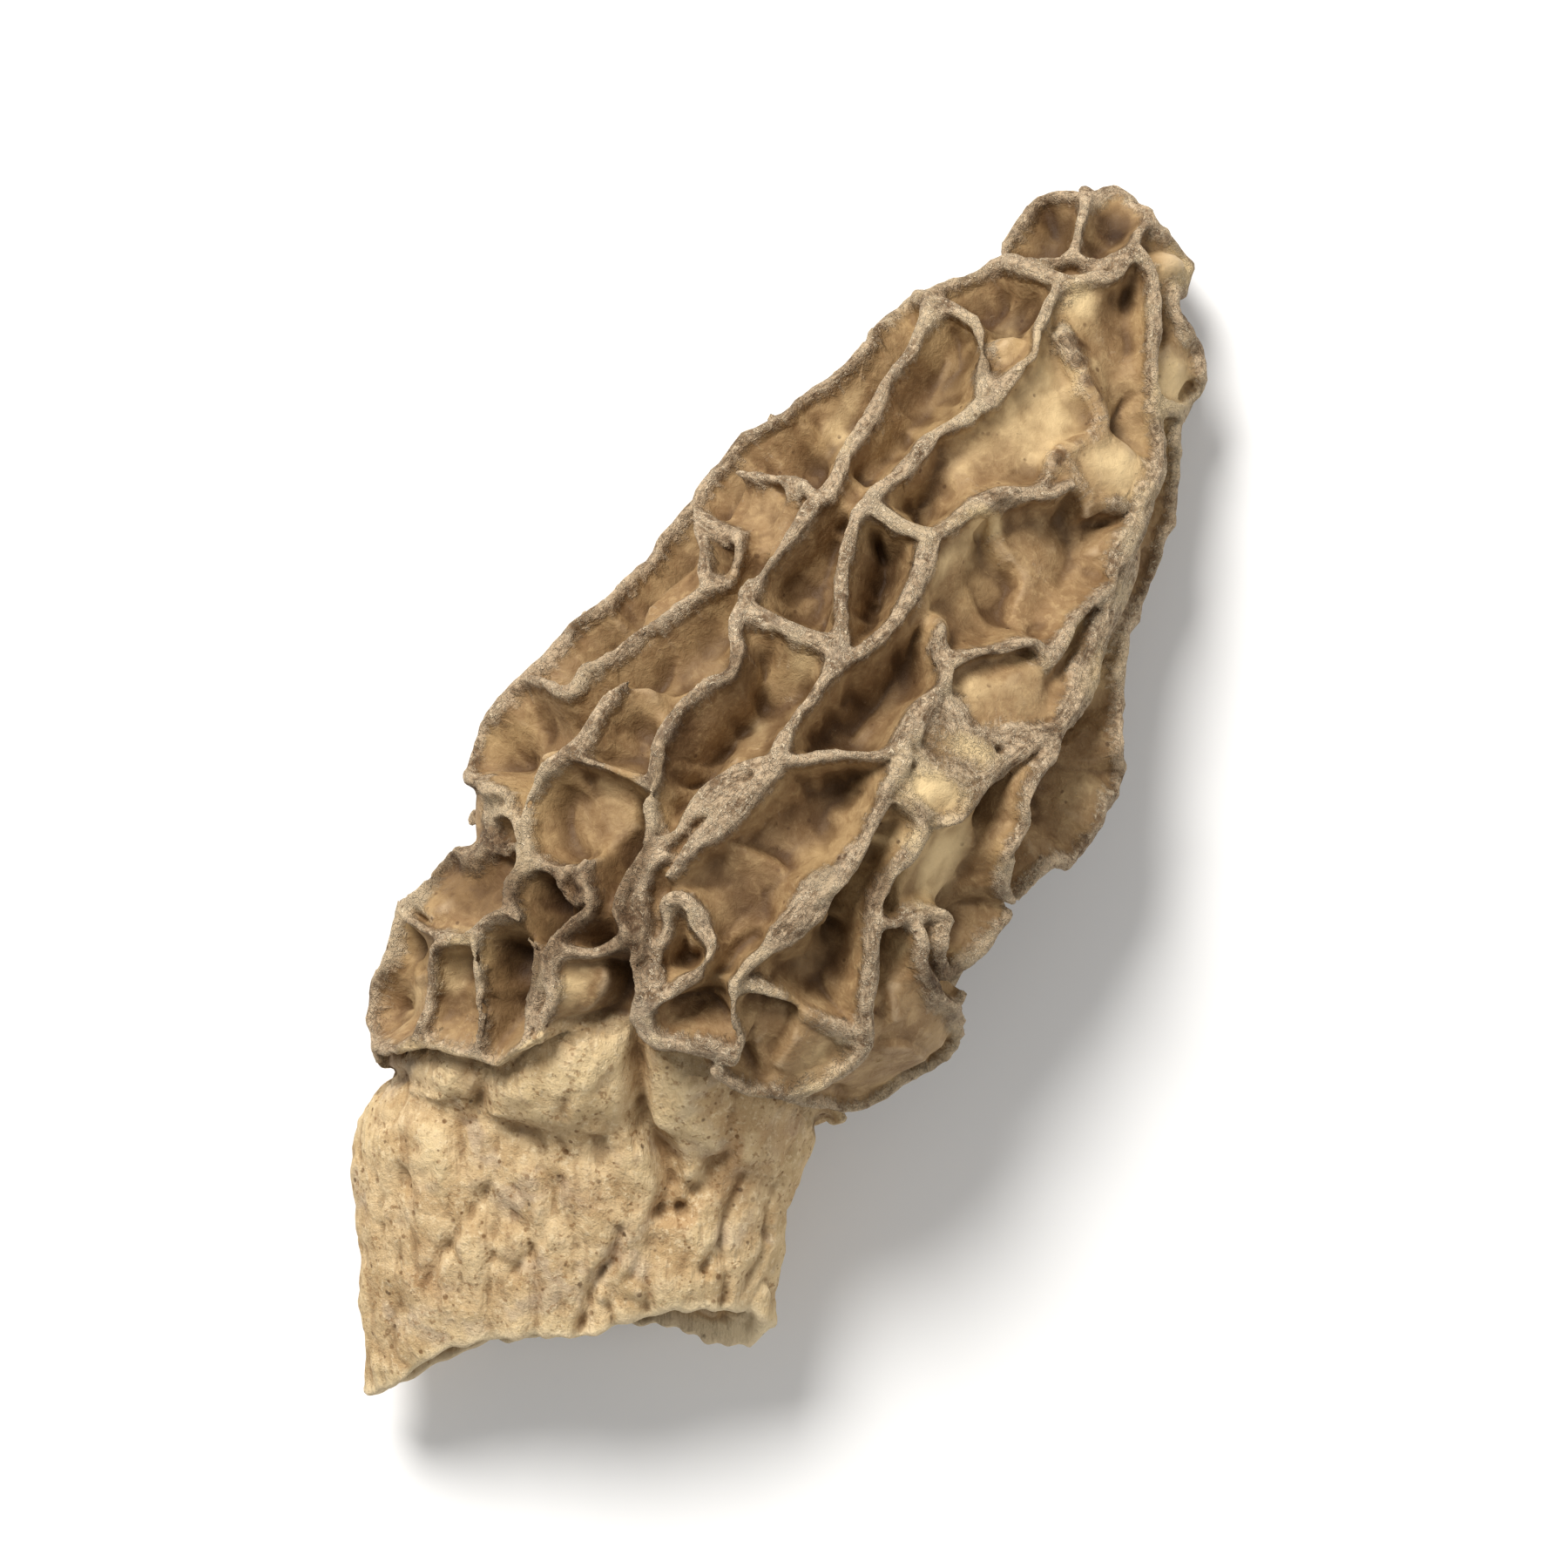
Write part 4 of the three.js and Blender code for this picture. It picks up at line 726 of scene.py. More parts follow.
def solid(x, y, z, s, cphi, sphi, d, full=False):
    """Below 0 inside the flesh. x, y, z in mm, s, phi and depth d of the nearest point of the envelope."""
    phi = np.arctan2(sphi, cphi)
    m0 = look(s, phi)
    dd = np.clip(d, -0.5, 5.0)
    g = np.maximum(m0[..., 11], 6.0)
    m = look(s - m0[..., 9] * dd, phi - m0[..., 10] * dd / g * 2 * np.pi)
    mix = smooth((d - 0.15) / 1.6)
    near1 = m[..., 0] * (1 - mix) + m[..., 1] * mix
    drop = np.maximum(0, d - m0[..., 3])
    w1 = m[..., 2] * (1.12 - 0.30 * smooth(drop / 0.5)) + (0.20 + 0.16 * smooth((m[..., 2] - 0.25) / 0.3)) * np.maximum(0, drop - 0.45)
    crown = 0.40 * np.minimum(near1, 1.4) ** 2 / np.maximum(m[..., 2], 0.24)
    f1 = smax(near1 - w1, m0[..., 3] + crown - d, 0.16)
    f2 = smax(m[..., 4] - m[..., 5] - 0.42 * np.maximum(0, d - m0[..., 6]), m0[..., 6] - d, 0.35)
    f3 = m0[..., 7] - d
    deep = smooth(m0[..., 7] / 2.0)
    f = smin(f1, smin(f2, f3, 0.2 + 0.4 * deep), 0.2 + 1.3 * deep)
    thick = 3.4 * smooth(1.2 - np.hypot((x - 7.0) / 5.5, (y + 30.0) / 5.0)) * smooth(0.35 - 1.1 * sphi)
    hollow = d - (np.maximum(np.maximum(m0[..., 8], m0[..., 7]), 0.0) + WALL + thick + 0.6 * smooth((s - HOLLOW_END + 3) / 3) * 3)
    f = smax(f, hollow, 0.3)
    f = smax(f, mouth(x, y, sphi), 0.25)
    f = smax(f, 0.6 - z, 0.35)
    return (f, m0, near1) if full else f


# ---------------------------------------------------------------- sample and extract
fx, fy, fz = (np.arange(LO[a], HI[a] - CO, VOXEL) for a in range(3))


def weights(fine, lo, n):
    q = (fine - lo) / CO
    i = np.clip(q.astype(int), 0, n - 2)
    return i, (q - i).astype(np.float32)


ix, wx = weights(fx, LO[0], len(gx))
iy, wy = weights(fy, LO[1], len(gy))
iz, wz = weights(fz, LO[2], len(gz))
FIELD = np.empty((len(fx), len(fy), len(fz)), np.float32)
FX, FY = np.meshgrid(fx, fy, indexing="ij")
for n in range(len(fz)):
    c = COARSE[:, :, iz[n]] * (1 - wz[n]) + COARSE[:, :, iz[n] + 1] * wz[n]
    c = c[ix] * (1 - wx)[:, None, None] + c[ix + 1] * wx[:, None, None]
    c = c[:, iy] * (1 - wy)[None, :, None] + c[:, iy + 1] * wy[None, :, None]
    d = c[..., 3]
    out = np.where(d > 4, d - 6.0, -d).astype(np.float32) + 0.0
    out = np.where(d > 4, 1.0, np.where(d < -1, 1.0, 0)).astype(np.float32)
    band = (d > -1.0) & (d < 8.4)
    if band.any():
        cb = c[band]
        out[band] = solid(FX[band], FY[band], fz[n], cb[..., 0], cb[..., 1], cb[..., 2], cb[..., 3])
    out[~band] = 1.0
    FIELD[:, :, n] = out
FIELD = np.clip(FIELD, -1.5, 1.5)


def surface_nets(f, origin, h):
    inside = f < 0
    shape = np.array(f.shape)
    cells = shape - 1
    total = int(cells.prod())
    stride = np.array([cells[1] * cells[2], cells[2], 1])
    sums = np.zeros((total, 3), np.float32)
    count = np.zeros(total, np.int32)
    quads = []
    for axis in range(3):
        lo = [slice(None)] * 3
        hi = [slice(None)] * 3
        lo[axis], hi[axis] = slice(0, -1), slice(1, None)
        a, b = inside[tuple(lo)], inside[tuple(hi)]
        idx = np.argwhere(a != b)
        o1, o2 = [i for i in range(3) if i != axis]
        ok = (idx[:, o1] > 0) & (idx[:, o2] > 0) & (idx[:, o1] < shape[o1] - 1) & (idx[:, o2] < shape[o2] - 1)
        idx = idx[ok]
        nxt = idx.copy()
        nxt[:, axis] += 1
        fa, fb = f[tuple(idx.T)], f[tuple(nxt.T)]
        p = idx.astype(np.float32)
        p[:, axis] += fa / (fa - fb)
        was_in = fa < 0
        corner = []
        for d1, d2 in ((-1, -1), (0, -1), (0, 0), (-1, 0)):
            c = idx.copy()
            c[:, o1] += d1
            c[:, o2] += d2
            flat_i = c @ stride
            corner.append(flat_i)
            for k in range(3):
                sums[:, k] += np.bincount(flat_i, p[:, k], total).astype(np.float32)
            count += np.bincount(flat_i, minlength=total).astype(np.int32)
        q = np.stack(corner, 1)
        flip = was_in if axis != 1 else ~was_in
        q[~flip] = q[~flip][:, ::-1]
        quads.append(q)
    active = np.flatnonzero(count)
    verts = sums[active] / count[active][:, None]
    lookup = np.full(total, -1, np.int64)
    lookup[active] = np.arange(len(active))
    quads = lookup[np.concatenate(quads)]
    return verts * h + origin, quads


V, Q = surface_nets(FIELD, np.array([fx[0], fy[0], fz[0]]), VOXEL)
del FIELD

# keep the one body, drop specks
label = np.arange(len(V))
edges = np.concatenate([Q[:, [0, 1]], Q[:, [1, 2]], Q[:, [2, 3]], Q[:, [3, 0]]])
while True:
    low = np.minimum(label[edges[:, 0]], label[edges[:, 1]])
    new = label.copy()
    np.minimum.at(new, edges[:, 0], low)
    np.minimum.at(new, edges[:, 1], low)
    new = new[new]
    new = new[new]
    if (new == label).all():
        break
    label = new
ids, counts = np.unique(label, return_counts=True)
main = ids[np.argmax(counts)]
keep = label == main
Q = Q[keep[Q[:, 0]]]
remap = np.cumsum(keep) - 1
V, Q = V[keep], remap[Q]

mesh = bpy.data.meshes.new("morel_fine")
mesh.vertices.add(len(V))
mesh.vertices.foreach_set("co", (V * 0.001).astype(np.float32).ravel())
mesh.loops.add(len(Q) * 4)
mesh.loops.foreach_set("vertex_index", Q.astype(np.int32).ravel())
mesh.polygons.add(len(Q))
mesh.polygons.foreach_set("loop_start", np.arange(0, len(Q) * 4, 4, dtype=np.int32))
mesh.update(calc_edges=True)
print("fine faces", len(mesh.polygons))

fine_obj = bpy.data.objects.new("morel_fine", mesh)
bpy.context.scene.collection.objects.link(fine_obj)
dec = fine_obj.modifiers.new("reduce", "DECIMATE")
dec.ratio = min(1.0, FACES / (2.0 * len(Q)))
bpy.context.view_layer.update()
reduced = bpy.data.meshes.new_from_object(fine_obj.evaluated_get(bpy.context.evaluated_depsgraph_get()))
bpy.data.objects.remove(fine_obj)
bpy.data.meshes.remove(mesh)
reduced.name = "morel_body"
print("reduced faces", len(reduced.polygons))

co = np.empty(len(reduced.vertices) * 3, np.float32)
reduced.vertices.foreach_get("co", co)
co = co.reshape(-1, 3) * 1000.0
cs = coarse_at(co.astype(float))
_, m0, near1 = solid(co[:, 0], co[:, 1], co[:, 2], cs[:, 0], cs[:, 1], cs[:, 2], cs[:, 3], full=True)
depth = cs[:, 3]
past_v, floor_v = m0[:, 12], m0[:, 7]
inner_v = smooth((depth - np.maximum(m0[:, 8], 0) - WALL * 0.62) / 0.35)
stem_v = 1 - smooth((past_v + 0.5) / 1.2)
crest_v = (1 - stem_v) * (1 - inner_v) * (1 - smooth((depth - m0[:, 3] - 0.15) / 0.95)) * (1 - 0.8 * smooth((m0[:, 3] - 0.9) / 0.6))
crest_v *= 1 - smooth((near1 - m0[:, 2] - 0.2) / 0.6)
for x, y, rx, ry in [(6.0, 4.3, 3.4, 1.6), (4.4, 5.0, 1.4, 1.8), (10.9, 15.0, 1.1, 5.0), (-11.2, 9.4, 1.6, 0.7), (-13.2, -5.2, 0.9, 1.4), (-4.1, -2.3, 0.9, 1.0), (-4.9, -3.4, 0.8, 1.1), (-5.5, -4.7, 0.7, 1.1)]:
    crest_v = np.maximum(crest_v, 0.75 * smooth(1.3 - np.hypot((co[:, 0] - x) / rx, (co[:, 1] - y) / ry)) * (cs[:, 2] > 0.1) * (depth < 1.6))
edge_v = np.abs(mouth(co[:, 0], co[:, 1], cs[:, 2]))
edge_v = 1 - smooth((edge_v - 0.1) / 0.5)

# how far each point lies below (+) or above (-) its surroundings, at two sizes, in mm
ends = np.empty(len(reduced.edges) * 2, np.int32)
reduced.edges.foreach_get("vertices", ends)
ends = ends.reshape(-1, 2)
count = np.bincount(ends.ravel(), minlength=len(co)).astype(np.float32)
normals = np.empty(len(co) * 3, np.float32)
reduced.vertex_normals.foreach_get("vector", normals)
normals = normals.reshape(-1, 3)


def relaxed(c, times):
    for _ in range(times):
        c = np.stack([
            (np.bincount(ends[:, 0], c[ends[:, 1], k], len(c)) + np.bincount(ends[:, 1], c[ends[:, 0], k], len(c))) / count
            for k in range(3)
        ], -1)
    return c


# paler (+) and darker (-) places on the upper side: partly the flesh's own paler and darker patches, partly painted
# shadow along the torn flaps, painted shade in the deepest pits and painted light on lit slopes and bulges
tint_and_shading_v = np.zeros(len(co))
for x, y, rx, ry, dz in [
    (5.6, 1.6, 2.1, 1.2, 0.95), (4.0, 25.0, 9.0, 12.0, 0.22), (7.2, -1.6, 1.5, 3.6, 0.7), (5.6, 33.2, 2.0, 1.8, 0.7), (1.4, 28.8, 1.4, 1.5, 0.9), (6.2, -13.8, 2.0, 2.8, 0.6),
    (10.4, 15.0, 1.6, 6.0, 0.25), (7.2, 21.4, 2.8, 2.0, 0.7), (6.2, 4.4, 2.0, 0.9, 0.9), (2.0, 22.5, 3.6, 4.6, 0.55), (-17.4, -7.4, 1.4, 1.2, 0.8),
    (-9.8, -5.6, 1.6, 1.2, 0.35), (-14.9, -20.6, 0.9, 2.2, 0.8), (-3.6, 4.4, 1.0, 1.6, 0.8), (-7.4, -16.0, 1.4, 1.8, 0.6), (7.2, -6.8, 0.9, 1.2, 0.5),
    (0.75, 12.2, 0.6, 2.0, 0.7), (1.9, 15.6, 1.2, 0.9, 1.0), (8.7, 12.2, 0.5, 1.8, 0.8), (12.5, 5.6, 1.8, 3.6, 0.35), (7.2, 7.8, 2.9, 1.9, 0.35), (7.5, 9.9, 1.3, 1.2, 0.45), (4.3, 0.7, 1.3, 1.4, 0.4), (-0.6, 17.6, 1.2, 2.4, 0.4),
    (3.0, -9.4, 1.4, 1.0, 0.4), (-4.4, 0.6, 1.0, 1.6, 0.5), (-1.4, 25.3, 1.1, 1.1, 0.4), (5.2, -1.0, 1.0, 1.0, 0.4),
    (-10.2, -17.2, 2.2, 4.4, -1.0), (-8.4, -12.0, 3.6, 3.4, -1.1), (-5.2, -12.0, 1.6, 4.6, -0.7), (1.8, 16.9, 1.0, 0.6, -1.2), (2.2, 26.5, 1.3, 0.6, -1.4),
    (-1.8, 23.6, 1.2, 2.0, -0.8), (-7.6, -2.2, 1.5, 4.4, -1.1), (-2.2, 10.8, 1.9, 3.2, -0.9), (4.7, -4.4, 1.1, 2.4, -1.2), (-14.9, -13.4, 2.8, 2.2, -1.1), (-10.0, -16.0, 0.9, 2.0, -1.2),
    (-14.4, -10.6, 1.2, 1.1, -1.4), (10.6, -7.0, 2.4, 1.1, -1.6), (1.7, 26.4, 0.6, 0.5, -2.2), (2.7, 25.7, 0.7, 0.45, -2.4), (3.7, 25.0, 0.6, 0.4, -2.0), (4.6, 24.4, 0.5, 0.35, -1.6), (5.2, 22.5, 0.5, 0.3, -1.5), (4.6, 21.8, 0.5, 0.35, -1.8), (3.9, 20.6, 0.45, 0.7, -2.0), (-6.4, 2.6, 1.3, 2.8, -0.9), (0.2, 5.6, 2.6, 4.4, -0.6), (4.0, 20.2, 0.7, 1.2, -0.7),
    (0.4, -2.6, 2.8, 3.0, -0.35), (-1.4, -7.4, 3.0, 2.6, -0.35), (4.6, -8.6, 2.0, 2.6, -0.4), (3.6, 14.4, 2.6, 0.8, -0.5), (5.0, 8.8, 1.4, 0.6, -0.8),
    (5.4, 1.4, 3.8, 5.0, 0.30), (7.4, -2.0, 1.4, 3.4, 0.35), (4.6, 7.4, 1.8, 1.8, 0.45), (10.6, 10.4, 1.4, 2.8, 0.6), (1.5, 14.4, 2.2, 2.6, 0.5), (-7.2, 17.4, 1.4, 3.6, 0.7),
    (7.9, 26.6, 1.6, 2.8, 0.7), (4.8, -9.6, 2.2, 2.6, 0.3), (-7.4, -14.2, 1.5, 1.8, 1.0), (-13.4, -17.2, 1.4, 2.4, 1.0), (3.6, -4.6, 0.9, 3.6, 0.3),
    (-7.4, -8.2, 1.6, 2.4, -1.25), (-10.6, 8.6, 1.8, 3.4, -0.4), (-13.3, 2.6, 1.8, 3.6, -0.5), (-13.8, -1.2, 2.2, 2.2, -0.4), (-13.4, -12.6, 2.4, 2.6, -0.75), (-10.6, -8.0, 1.3, 1.4, -0.4), (-16.8, -10.0, 1.4, 5.0, -0.6),
    (1.5, -5.0, 2.0, 1.6, -0.4), (-1.4, -8.2, 2.0, 1.8, -0.25), (-4.4, -14.0, 1.6, 2.2, -0.35), (4.4, 28.2, 1.6, 1.8, -0.3),
    (-9.6, -12.6, 5.5, 5.0, -0.35), (10.6, -10.6, 3.0, 4.8, -0.4), (0.2, -12.8, 1.6, 3.0, -0.5), (1.4, 33.6, 1.6, 1.6, -1.4), (-2.0, 32.0, 1.4, 2.2, -1.2), (-6.3, 19.4, 0.9, 3.4, -0.6), (-1.0, -6.4, 2.6, 2.4, -0.3),
    (-9.0, 5.2, 1.2, 6.0, -0.4), (-16.2, -20.0, 1.6, 3.4, -0.4), (6.6, 18.6, 1.8, 0.9, -0.5), (12.4, 8.6, 1.0, 3.0, -0.4), (9.4, 12.4, 0.4, 1.8, -0.6),
]:
    tint_and_shading_v += dz * smooth(1.15 - np.hypot((co[:, 0] - x) / rx, (co[:, 1] - y) / ry)) * (cs[:, 2] > 0.1) * (1 - stem_v)

near_co = relaxed(co, 3)
fold_v = ((near_co - co) * normals).sum(1)
bowl_v = ((relaxed(near_co, 24) - co) * normals).sum(1)
print("fold", np.percentile(fold_v, [2, 25, 50, 75, 98]).round(3), "bowl", np.percentile(bowl_v, [2, 25, 50, 75, 98]).round(3))


def attribute(name, values):
    a = reduced.attributes.new(name, "FLOAT", "POINT")
    a.data.foreach_set("value", np.clip(values, -4, 4000).astype(np.float32))


attribute("crest", crest_v)
attribute("depth", np.clip(depth / np.maximum(m0[:, 15], 2.0), 0, 1.5))
attribute("tint_and_shading", tint_and_shading_v)
attribute("stem", stem_v)
attribute("inner", inner_v)
attribute("side", np.clip(near1, 0, 4))
attribute("along", m0[:, 16])
attribute("cut", edge_v)
attribute("fold", fold_v)
attribute("bowl", bowl_v)
out = (co + np.array(SHIFT, np.float32)) * 0.001
out[:, 2] = np.maximum(out[:, 2], 0)
reduced.vertices.foreach_set("co", out.ravel().astype(np.float32))
reduced.polygons.foreach_set("use_smooth", np.ones(len(reduced.polygons), bool))
reduced.update()
morel = bpy.data.objects.new("morel_body", reduced)
bpy.context.scene.collection.objects.link(morel)


# ---------------------------------------------------------------- material
def lin(r, g, b):
    f = lambda c: c / 255 / 12.92 if c <= 10 else ((c / 255 + 0.055) / 1.055) ** 2.4
    return (f(r), f(g), f(b), 1.0)


class Nodes:
    def __init__(self, name):
        self.mat = bpy.data.materials.new(name)
        self.mat.use_nodes = True
        self.t = self.mat.node_tree
        self.t.nodes.clear()

    def add(self, kind, **props):
        n = self.t.nodes.new(kind)
        for k, v in props.items():
            setattr(n, k, v)
        return n

    def link(self, a, b):
        self.t.links.new(a, b)

    def put(self, socket, v):
        if hasattr(v, "is_linked") or isinstance(v, bpy.types.NodeSocket):
            self.link(v, socket)
        else:
            socket.default_value = v

    def attr(self, name):
        return self.add("ShaderNodeAttribute", attribute_name=name).outputs["Fac"]

    def math(self, op, a, b=0.0, c=0.0, clamp=False):
        n = self.add("ShaderNodeMath", operation=op, use_clamp=clamp)
        for s, v in zip(n.inputs, (a, b, c)):
            self.put(s, v)
        return n.outputs[0]

    def ramp(self, v, lo, hi, a=0.0, b=1.0, kind="SMOOTHSTEP"):
        n = self.add("ShaderNodeMapRange", interpolation_type=kind)
        for s, x in zip(n.inputs, (v, lo, hi, a, b)):
            self.put(s, x)
        return n.outputs[0]

    def mix(self, fac, a, b, mode="MIX"):
        n = self.add("ShaderNodeMix", data_type="RGBA", blend_type=mode)
        self.put(n.inputs[0], fac)
        self.put(n.inputs[6], a)
        self.put(n.inputs[7], b)
        return n.outputs[2]

    def noise(self, vec, scale, detail=3.0, rough=0.55, distort=0.0):
        n = self.add("ShaderNodeTexNoise")
        self.put(n.inputs["Vector"], vec)
        n.inputs["Scale"].default_value = scale
        n.inputs["Detail"].default_value = detail
        n.inputs["Roughness"].default_value = rough
        n.inputs["Distortion"].default_value = distort
        return n.outputs["Fac"]

    def voronoi(self, vec, scale, feature="F1"):
        n = self.add("ShaderNodeTexVoronoi", feature=feature)
        self.put(n.inputs["Vector"], vec)
        n.inputs["Scale"].default_value = scale
        return n

    def bump(self, height, strength, distance, normal=None):
        n = self.add("ShaderNodeBump")
        n.inputs["Strength"].default_value = strength
        n.inputs["Distance"].default_value = distance
        self.link(height, n.inputs["Height"])
        if normal is not None:
            self.link(normal, n.inputs["Normal"])
        return n.outputs[0]


def flesh():
    n = Nodes("dried_morel_flesh")
    obj = n.add("ShaderNodeTexCoord").outputs["Object"]
    crest, deep, stem, inner, side, cut, fold, bowl = (n.attr(a) for a in ("crest", "depth", "stem", "inner", "side", "cut", "fold", "bowl"))
    tint_and_shading = n.attr("tint_and_shading")
    big = n.noise(obj, 140, 2, 0.55)
    mid = n.noise(obj, 450, 3, 0.6)
    small = n.noise(obj, 2300, 5, 0.78)
    stain = n.noise(obj, 260, 3, 0.65, 0.3)
    # fibres run along each ridge: fine across it, long along it
    fibre = n.add("ShaderNodeTexNoise", noise_dimensions="4D")
    n.link(obj, fibre.inputs["Vector"])
    n.link(n.math("MULTIPLY", side, 0.0085), fibre.inputs["W"])
    for k, v in (("Scale", 700), ("Detail", 4.0), ("Roughness", 0.78)):
        fibre.inputs[k].default_value = v
    fibre = fibre.outputs["Fac"]
    felt = n.math("ADD", n.math("MULTIPLY", fibre, 0.55), n.math("MULTIPLY", small, 0.45))
    # hairs that fray from a crest down the walls: fine along the ridge, long across it
    hair = n.add("ShaderNodeTexNoise")
    comb = n.add("ShaderNodeCombineXYZ")
    n.put(comb.inputs[0], n.math("MULTIPLY", n.attr("along"), 3.6))
    n.put(comb.inputs[1], n.math("MULTIPLY", side, 0.8))
    n.link(comb.outputs[0], hair.inputs["Vector"])
    for k, v in (("Scale", 1.0), ("Detail", 2.0), ("Roughness", 0.6)):
        hair.inputs[k].default_value = v
    hair = hair.outputs["Fac"]
    # the felt is puckered into fine raised folds
    curl = n.noise(obj, 2500, 2, 0.6, 0.6)
    pucker = n.ramp(n.math("ABSOLUTE", n.math("SUBTRACT", curl, 0.5)), 0.045, 0.0)
    # pit floors: waxy tan, with painted shade (dark brown) where deep and in broad hollows
    pit = n.mix(n.ramp(mid, 0.34, 0.66), lin(153, 125, 88), lin(133, 104, 70))
    pit = n.mix(n.ramp(big, 0.48, 0.68, 0.0, 0.55), pit, lin(178, 149, 104))
    pit = n.mix(n.ramp(stain, 0.56, 0.72, 0.0, 0.45), pit, lin(130, 99, 67))
    grain = n.noise(obj, 1500, 4, 0.72, 0.4)
    pit = n.mix(n.ramp(grain, 0.50, 0.66, 0.0, 0.42), pit, lin(184, 155, 112))
    pit = n.mix(n.ramp(grain, 0.48, 0.34, 0.0, 0.42), pit, lin(116, 85, 52))
    # painted shade: darker brown the deeper the point lies and the more it sits in a broad hollow
    low = n.math("ADD", deep, n.math("MULTIPLY", bowl, 0.6))
    pit = n.mix(n.ramp(low, 0.45, 1.35, 0.0, 0.75), pit, lin(78, 54, 31))
    # ridge crests: fibrous grey-beige felt, with darker stretches
    tone = n.math("ADD", felt, n.math("MULTIPLY", n.math("SUBTRACT", stain, 0.5), 0.30))
    ridge = n.mix(n.ramp(tone, 0.40, 0.58), lin(108, 85, 62), lin(190, 166, 135))
    ridge = n.mix(n.ramp(mid, 0.54, 0.70, 0.0, 0.5), ridge, lin(146, 130, 112))
    ridge = n.mix(n.ramp(n.math("ADD", n.math("MULTIPLY", big, 0.6), n.math("MULTIPLY", stain, 0.4)), 0.55, 0.63, 0.0, 0.5), ridge, lin(104, 91, 78))
    ridge = n.mix(n.ramp(small, 0.56, 0.68, 0.0, 0.75), ridge, lin(220, 200, 170))
    ridge = n.mix(n.ramp(felt, 0.42, 0.33, 0.0, 0.8), ridge, lin(88, 67, 47))
    ridge = n.mix(n.ramp(n.math("ADD", big, n.math("MULTIPLY", mid, 0.4)), 0.72, 0.84, 0.0, 0.55), ridge, lin(208, 186, 150))
    ridge = n.mix(n.math("MULTIPLY", n.ramp(pucker, 0.3, 1.0), n.ramp(mid, 0.36, 0.56, 0.15, 0.85)), ridge, lin(226, 206, 174))
    fray = n.math("ADD", n.math("MULTIPLY", n.math("SUBTRACT", felt, 0.5), 1.5), n.math("MULTIPLY", n.math("SUBTRACT", hair, 0.5), 1.1))
    fray = n.math("ADD", fray, n.math("MULTIPLY", n.math("SUBTRACT", stain, 0.5), 0.9))
    edge = n.ramp(n.math("ADD", crest, fray), 0.20, 0.86)
    col = n.mix(edge, pit, ridge)
    # paler at the listed paler places: the flesh's own pale patches, plus painted light on lit slopes and bulges
    col = n.mix(n.ramp(n.math("ADD", tint_and_shading, n.math("MULTIPLY", n.math("SUBTRACT", mid, 0.5), 1.5)), 0.10, 1.25, 0.0, 0.85), col, lin(226, 199, 150))
    # darker at the listed darker places: darker flesh, plus painted shadow along the torn flaps and painted shade in
    # the deepest pits
    dark = n.ramp(n.math("SUBTRACT", n.math("MULTIPLY", n.math("SUBTRACT", stain, 0.5), 0.8), tint_and_shading), 0.15, 1.1, 0.0, 0.9)
    col = n.mix(dark, col, n.mix(1.0, col, (0.42, 0.36, 0.31, 1), "MULTIPLY"))
    # stem: cream and mealy, speckled brown
    axis = n.add("ShaderNodeVectorMath", operation="DOT_PRODUCT")
    n.link(obj, axis.inputs[0])
    axis.inputs[1].default_value = (0.90, 0.43, 0.0)
    depth_axis = n.add("ShaderNodeSeparateXYZ")
    n.link(obj, depth_axis.inputs[0])
    strip = n.add("ShaderNodeCombineXYZ")
    n.link(axis.outputs["Value"], strip.inputs[0])
    n.put(strip.inputs[1], n.math("MULTIPLY", depth_axis.outputs[1], 0.16))
    n.link(depth_axis.outputs[2], strip.inputs[2])
    wrinkle = n.noise(strip.outputs[0], 1150, 3, 0.6)
    body = n.mix(n.ramp(mid, 0.36, 0.64), lin(208, 181, 139), lin(184, 154, 112))
    body = n.mix(n.ramp(stain, 0.54, 0.68, 0.0, 0.60), body, lin(182, 162, 138))
    body = n.mix(n.ramp(big, 0.54, 0.68, 0.0, 0.5), body, lin(172, 134, 94))
    # painted highlight: the stem is paler on its convex swellings
    body = n.mix(n.ramp(bowl, -0.10, -0.55, 0.0, 0.7), body, lin(220, 196, 150))
    body = n.mix(n.ramp(small, 0.52, 0.64, 0.0, 0.55), body, lin(232, 211, 172))
    body = n.mix(n.ramp(wrinkle, 0.46, 0.34, 0.0, 0.45), body, lin(150, 119, 84))
    blotch = n.math("MULTIPLY", n.ramp(n.noise(obj, 3000, 2, 0.5), 0.57, 0.66), n.ramp(n.noise(obj, 620, 2, 0.5), 0.40, 0.58))
    body = n.mix(n.math("MULTIPLY", blotch, 0.70), body, lin(140, 106, 68))
    spots = n.voronoi(obj, 1500)
    size = n.math("MULTIPLY", n.math("SUBTRACT", spots.outputs["Color"], 0.30), 0.42)
    speck = n.ramp(n.math("SUBTRACT", spots.outputs["Distance"], size), 0.06, -0.06)
    speck = n.math("MULTIPLY", speck, n.ramp(mid, 0.38, 0.52))
    body = n.mix(n.math("MULTIPLY", speck, 0.8), body, lin(112, 80, 47))
    body = n.mix(n.ramp(small, 0.42, 0.32, 0.0, 0.55), body, lin(142, 108, 70))
    col = n.mix(stem, col, body)
    # inside of the hollow and the cut edge
    inside_c = n.mix(n.ramp(mid, 0.3, 0.7), lin(178, 147, 105), lin(140, 110, 74))
    col = n.mix(inner, col, inside_c)
    col = n.mix(n.math("MULTIPLY", cut, 0.75), col, lin(226, 206, 168))
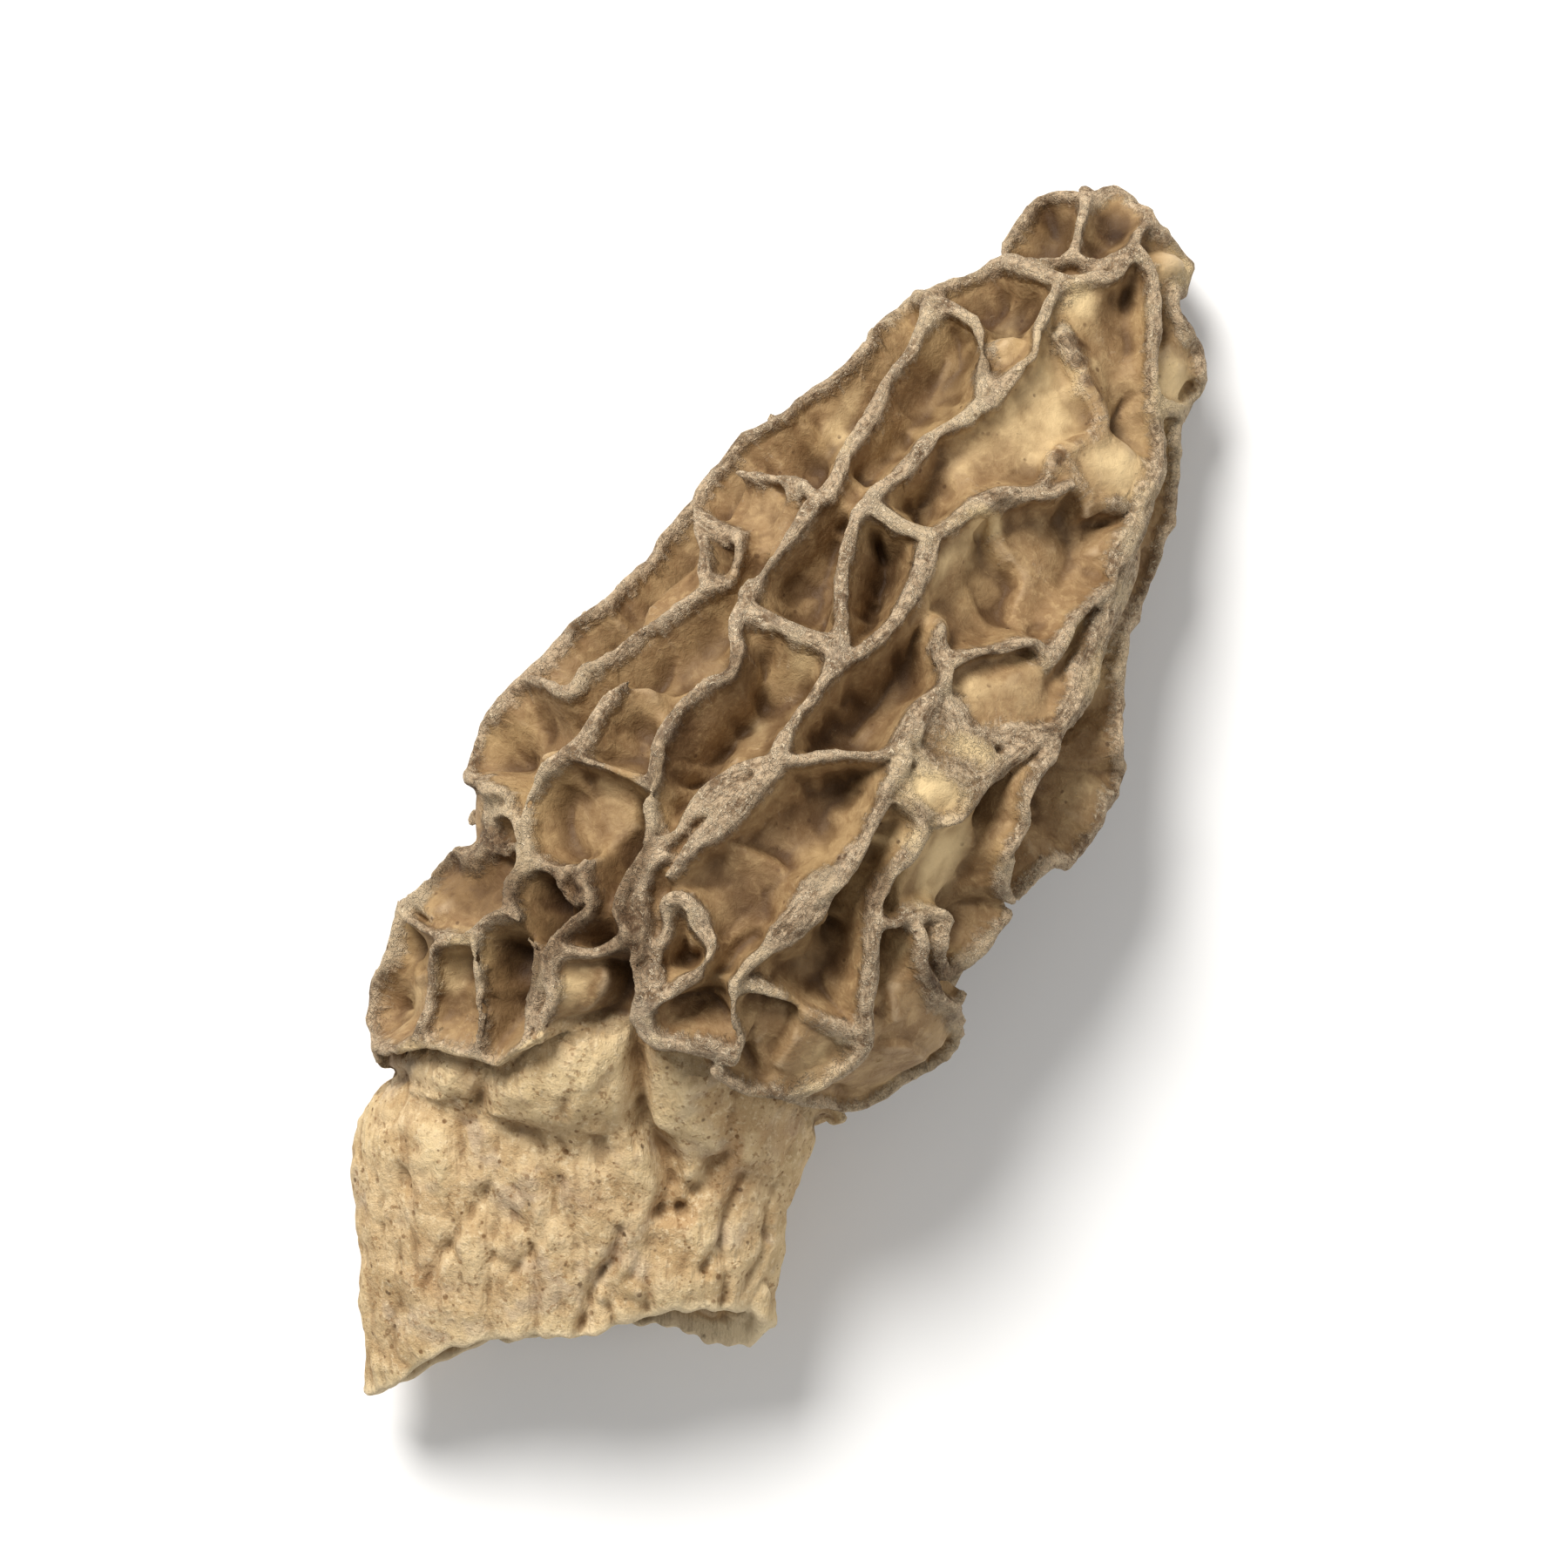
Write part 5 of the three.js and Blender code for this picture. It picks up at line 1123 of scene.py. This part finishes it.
    # small dark flecks in the pits
    fleck = n.ramp(n.voronoi(obj, 700).outputs["Distance"], 0.13, 0.06)
    fleck = n.math("MULTIPLY", fleck, n.ramp(stain, 0.48, 0.58))
    col = n.mix(n.math("MULTIPLY", fleck, 0.75), col, lin(88, 62, 38))
    dot = n.ramp(n.voronoi(obj, 1150).outputs["Distance"], 0.17, 0.08)
    dot = n.math("MULTIPLY", dot, n.ramp(mid, 0.52, 0.60))
    col = n.mix(n.math("MULTIPLY", dot, 0.7), col, lin(82, 58, 36))
    # painted shade darkens the creases, painted highlight makes high spots paler
    col = n.mix(n.ramp(fold, 0.015, 0.12, 0.0, 0.6), col, n.mix(1.0, col, (0.42, 0.34, 0.27, 1), "MULTIPLY"))
    col = n.mix(n.ramp(fold, -0.05, -0.20, 0.0, 0.35), col, lin(214, 190, 156))
    bsdf = n.add("ShaderNodeBsdfPrincipled")
    n.link(col, bsdf.inputs["Base Color"])
    rough = n.math("ADD", n.math("MULTIPLY", edge, 0.25), n.math("MULTIPLY", stem, 0.22))
    n.link(n.math("ADD", n.math("MINIMUM", rough, 0.32), n.ramp(mid, 0.3, 0.7, 0.58, 0.68)), bsdf.inputs["Roughness"])
    bsdf.inputs["Specular IOR Level"].default_value = 0.2
    height = n.math("ADD", n.math("MULTIPLY", felt, n.math("MAXIMUM", n.ramp(crest, 0.0, 0.9), n.math("MULTIPLY", stem, 0.8))), n.math("ADD", n.math("MULTIPLY", mid, 0.30), n.math("MULTIPLY", grain, 0.22)))
    height = n.math("ADD", height, n.math("MULTIPLY", n.math("MULTIPLY", wrinkle, stem), 0.9))
    height = n.math("ADD", height, n.math("MULTIPLY", n.math("MULTIPLY", pucker, edge), 0.22))
    n.link(n.bump(height, 0.9, 0.00055), bsdf.inputs["Normal"])
    out = n.add("ShaderNodeOutputMaterial")
    n.link(bsdf.outputs[0], out.inputs["Surface"])
    return n.mat


reduced.materials.clear()
reduced.materials.append(flesh())
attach(morel, "root")
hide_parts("morel")

# ---------------------------------------------------------------- floor, light, camera
scene = bpy.context.scene
scene.view_settings.view_transform = "Standard"
bpy.ops.mesh.primitive_plane_add(size=3.0, location=(0, 0, 0))
floor = bpy.context.object
floor.name = "floor"
fn = Nodes("floor_pale")
fb = fn.add("ShaderNodeBsdfPrincipled")
fb.inputs["Base Color"].default_value = (0.88, 0.875, 0.865, 1)
fb.inputs["Roughness"].default_value = 0.85
fb.inputs["Specular IOR Level"].default_value = 0.15
fo = fn.add("ShaderNodeOutputMaterial")
fn.link(fb.outputs[0], fo.inputs["Surface"])
floor.data.materials.append(fn.mat)

world = bpy.data.worlds.new("studio")
world.use_nodes = True
world.node_tree.nodes["Background"].inputs[0].default_value = (1.0, 0.99, 0.97, 1)
world.node_tree.nodes["Background"].inputs[1].default_value = 0.34
scene.world = world

ROLL = math.radians(25.36)
MID = Vector((-0.00014, 0.00112, 0.010))
up = Vector((-math.sin(ROLL), math.cos(ROLL), 0))
right = Vector((math.cos(ROLL), math.sin(ROLL), 0))


def area(name, direction, distance, size, power, colour=(1, 1, 1)):
    data = bpy.data.lights.new(name, "AREA")
    data.shape = "DISK"
    data.size = size
    data.energy = power
    data.color = colour
    o = bpy.data.objects.new(name, data)
    o.location = MID + direction.normalized() * distance
    o.rotation_euler = (-direction).to_track_quat("-Z", "Y").to_euler()
    scene.collection.objects.link(o)


area("key", up * 0.80 - right * 0.42 + Vector((0, 0, 1.0)), 0.55, 0.26, 4.5, (1.0, 0.985, 0.965))
area("fill", right * 0.9 - up * 0.3 + Vector((0, 0, 0.9)), 0.65, 0.45, 1.1, (0.97, 0.985, 1.0))

cam_data = bpy.data.cameras.new("camera")
cam_data.lens = 120
cam_data.sensor_width = 36
cam_data.clip_start = 0.01
cam_data.clip_end = 10
cam = bpy.data.objects.new("camera", cam_data)
VIEW = 0.084
cam.location = MID + Vector((0, 0, VIEW * 120 / 36))
cam.rotation_euler = (0, 0, ROLL)
scene.collection.objects.link(cam)
scene.camera = cam
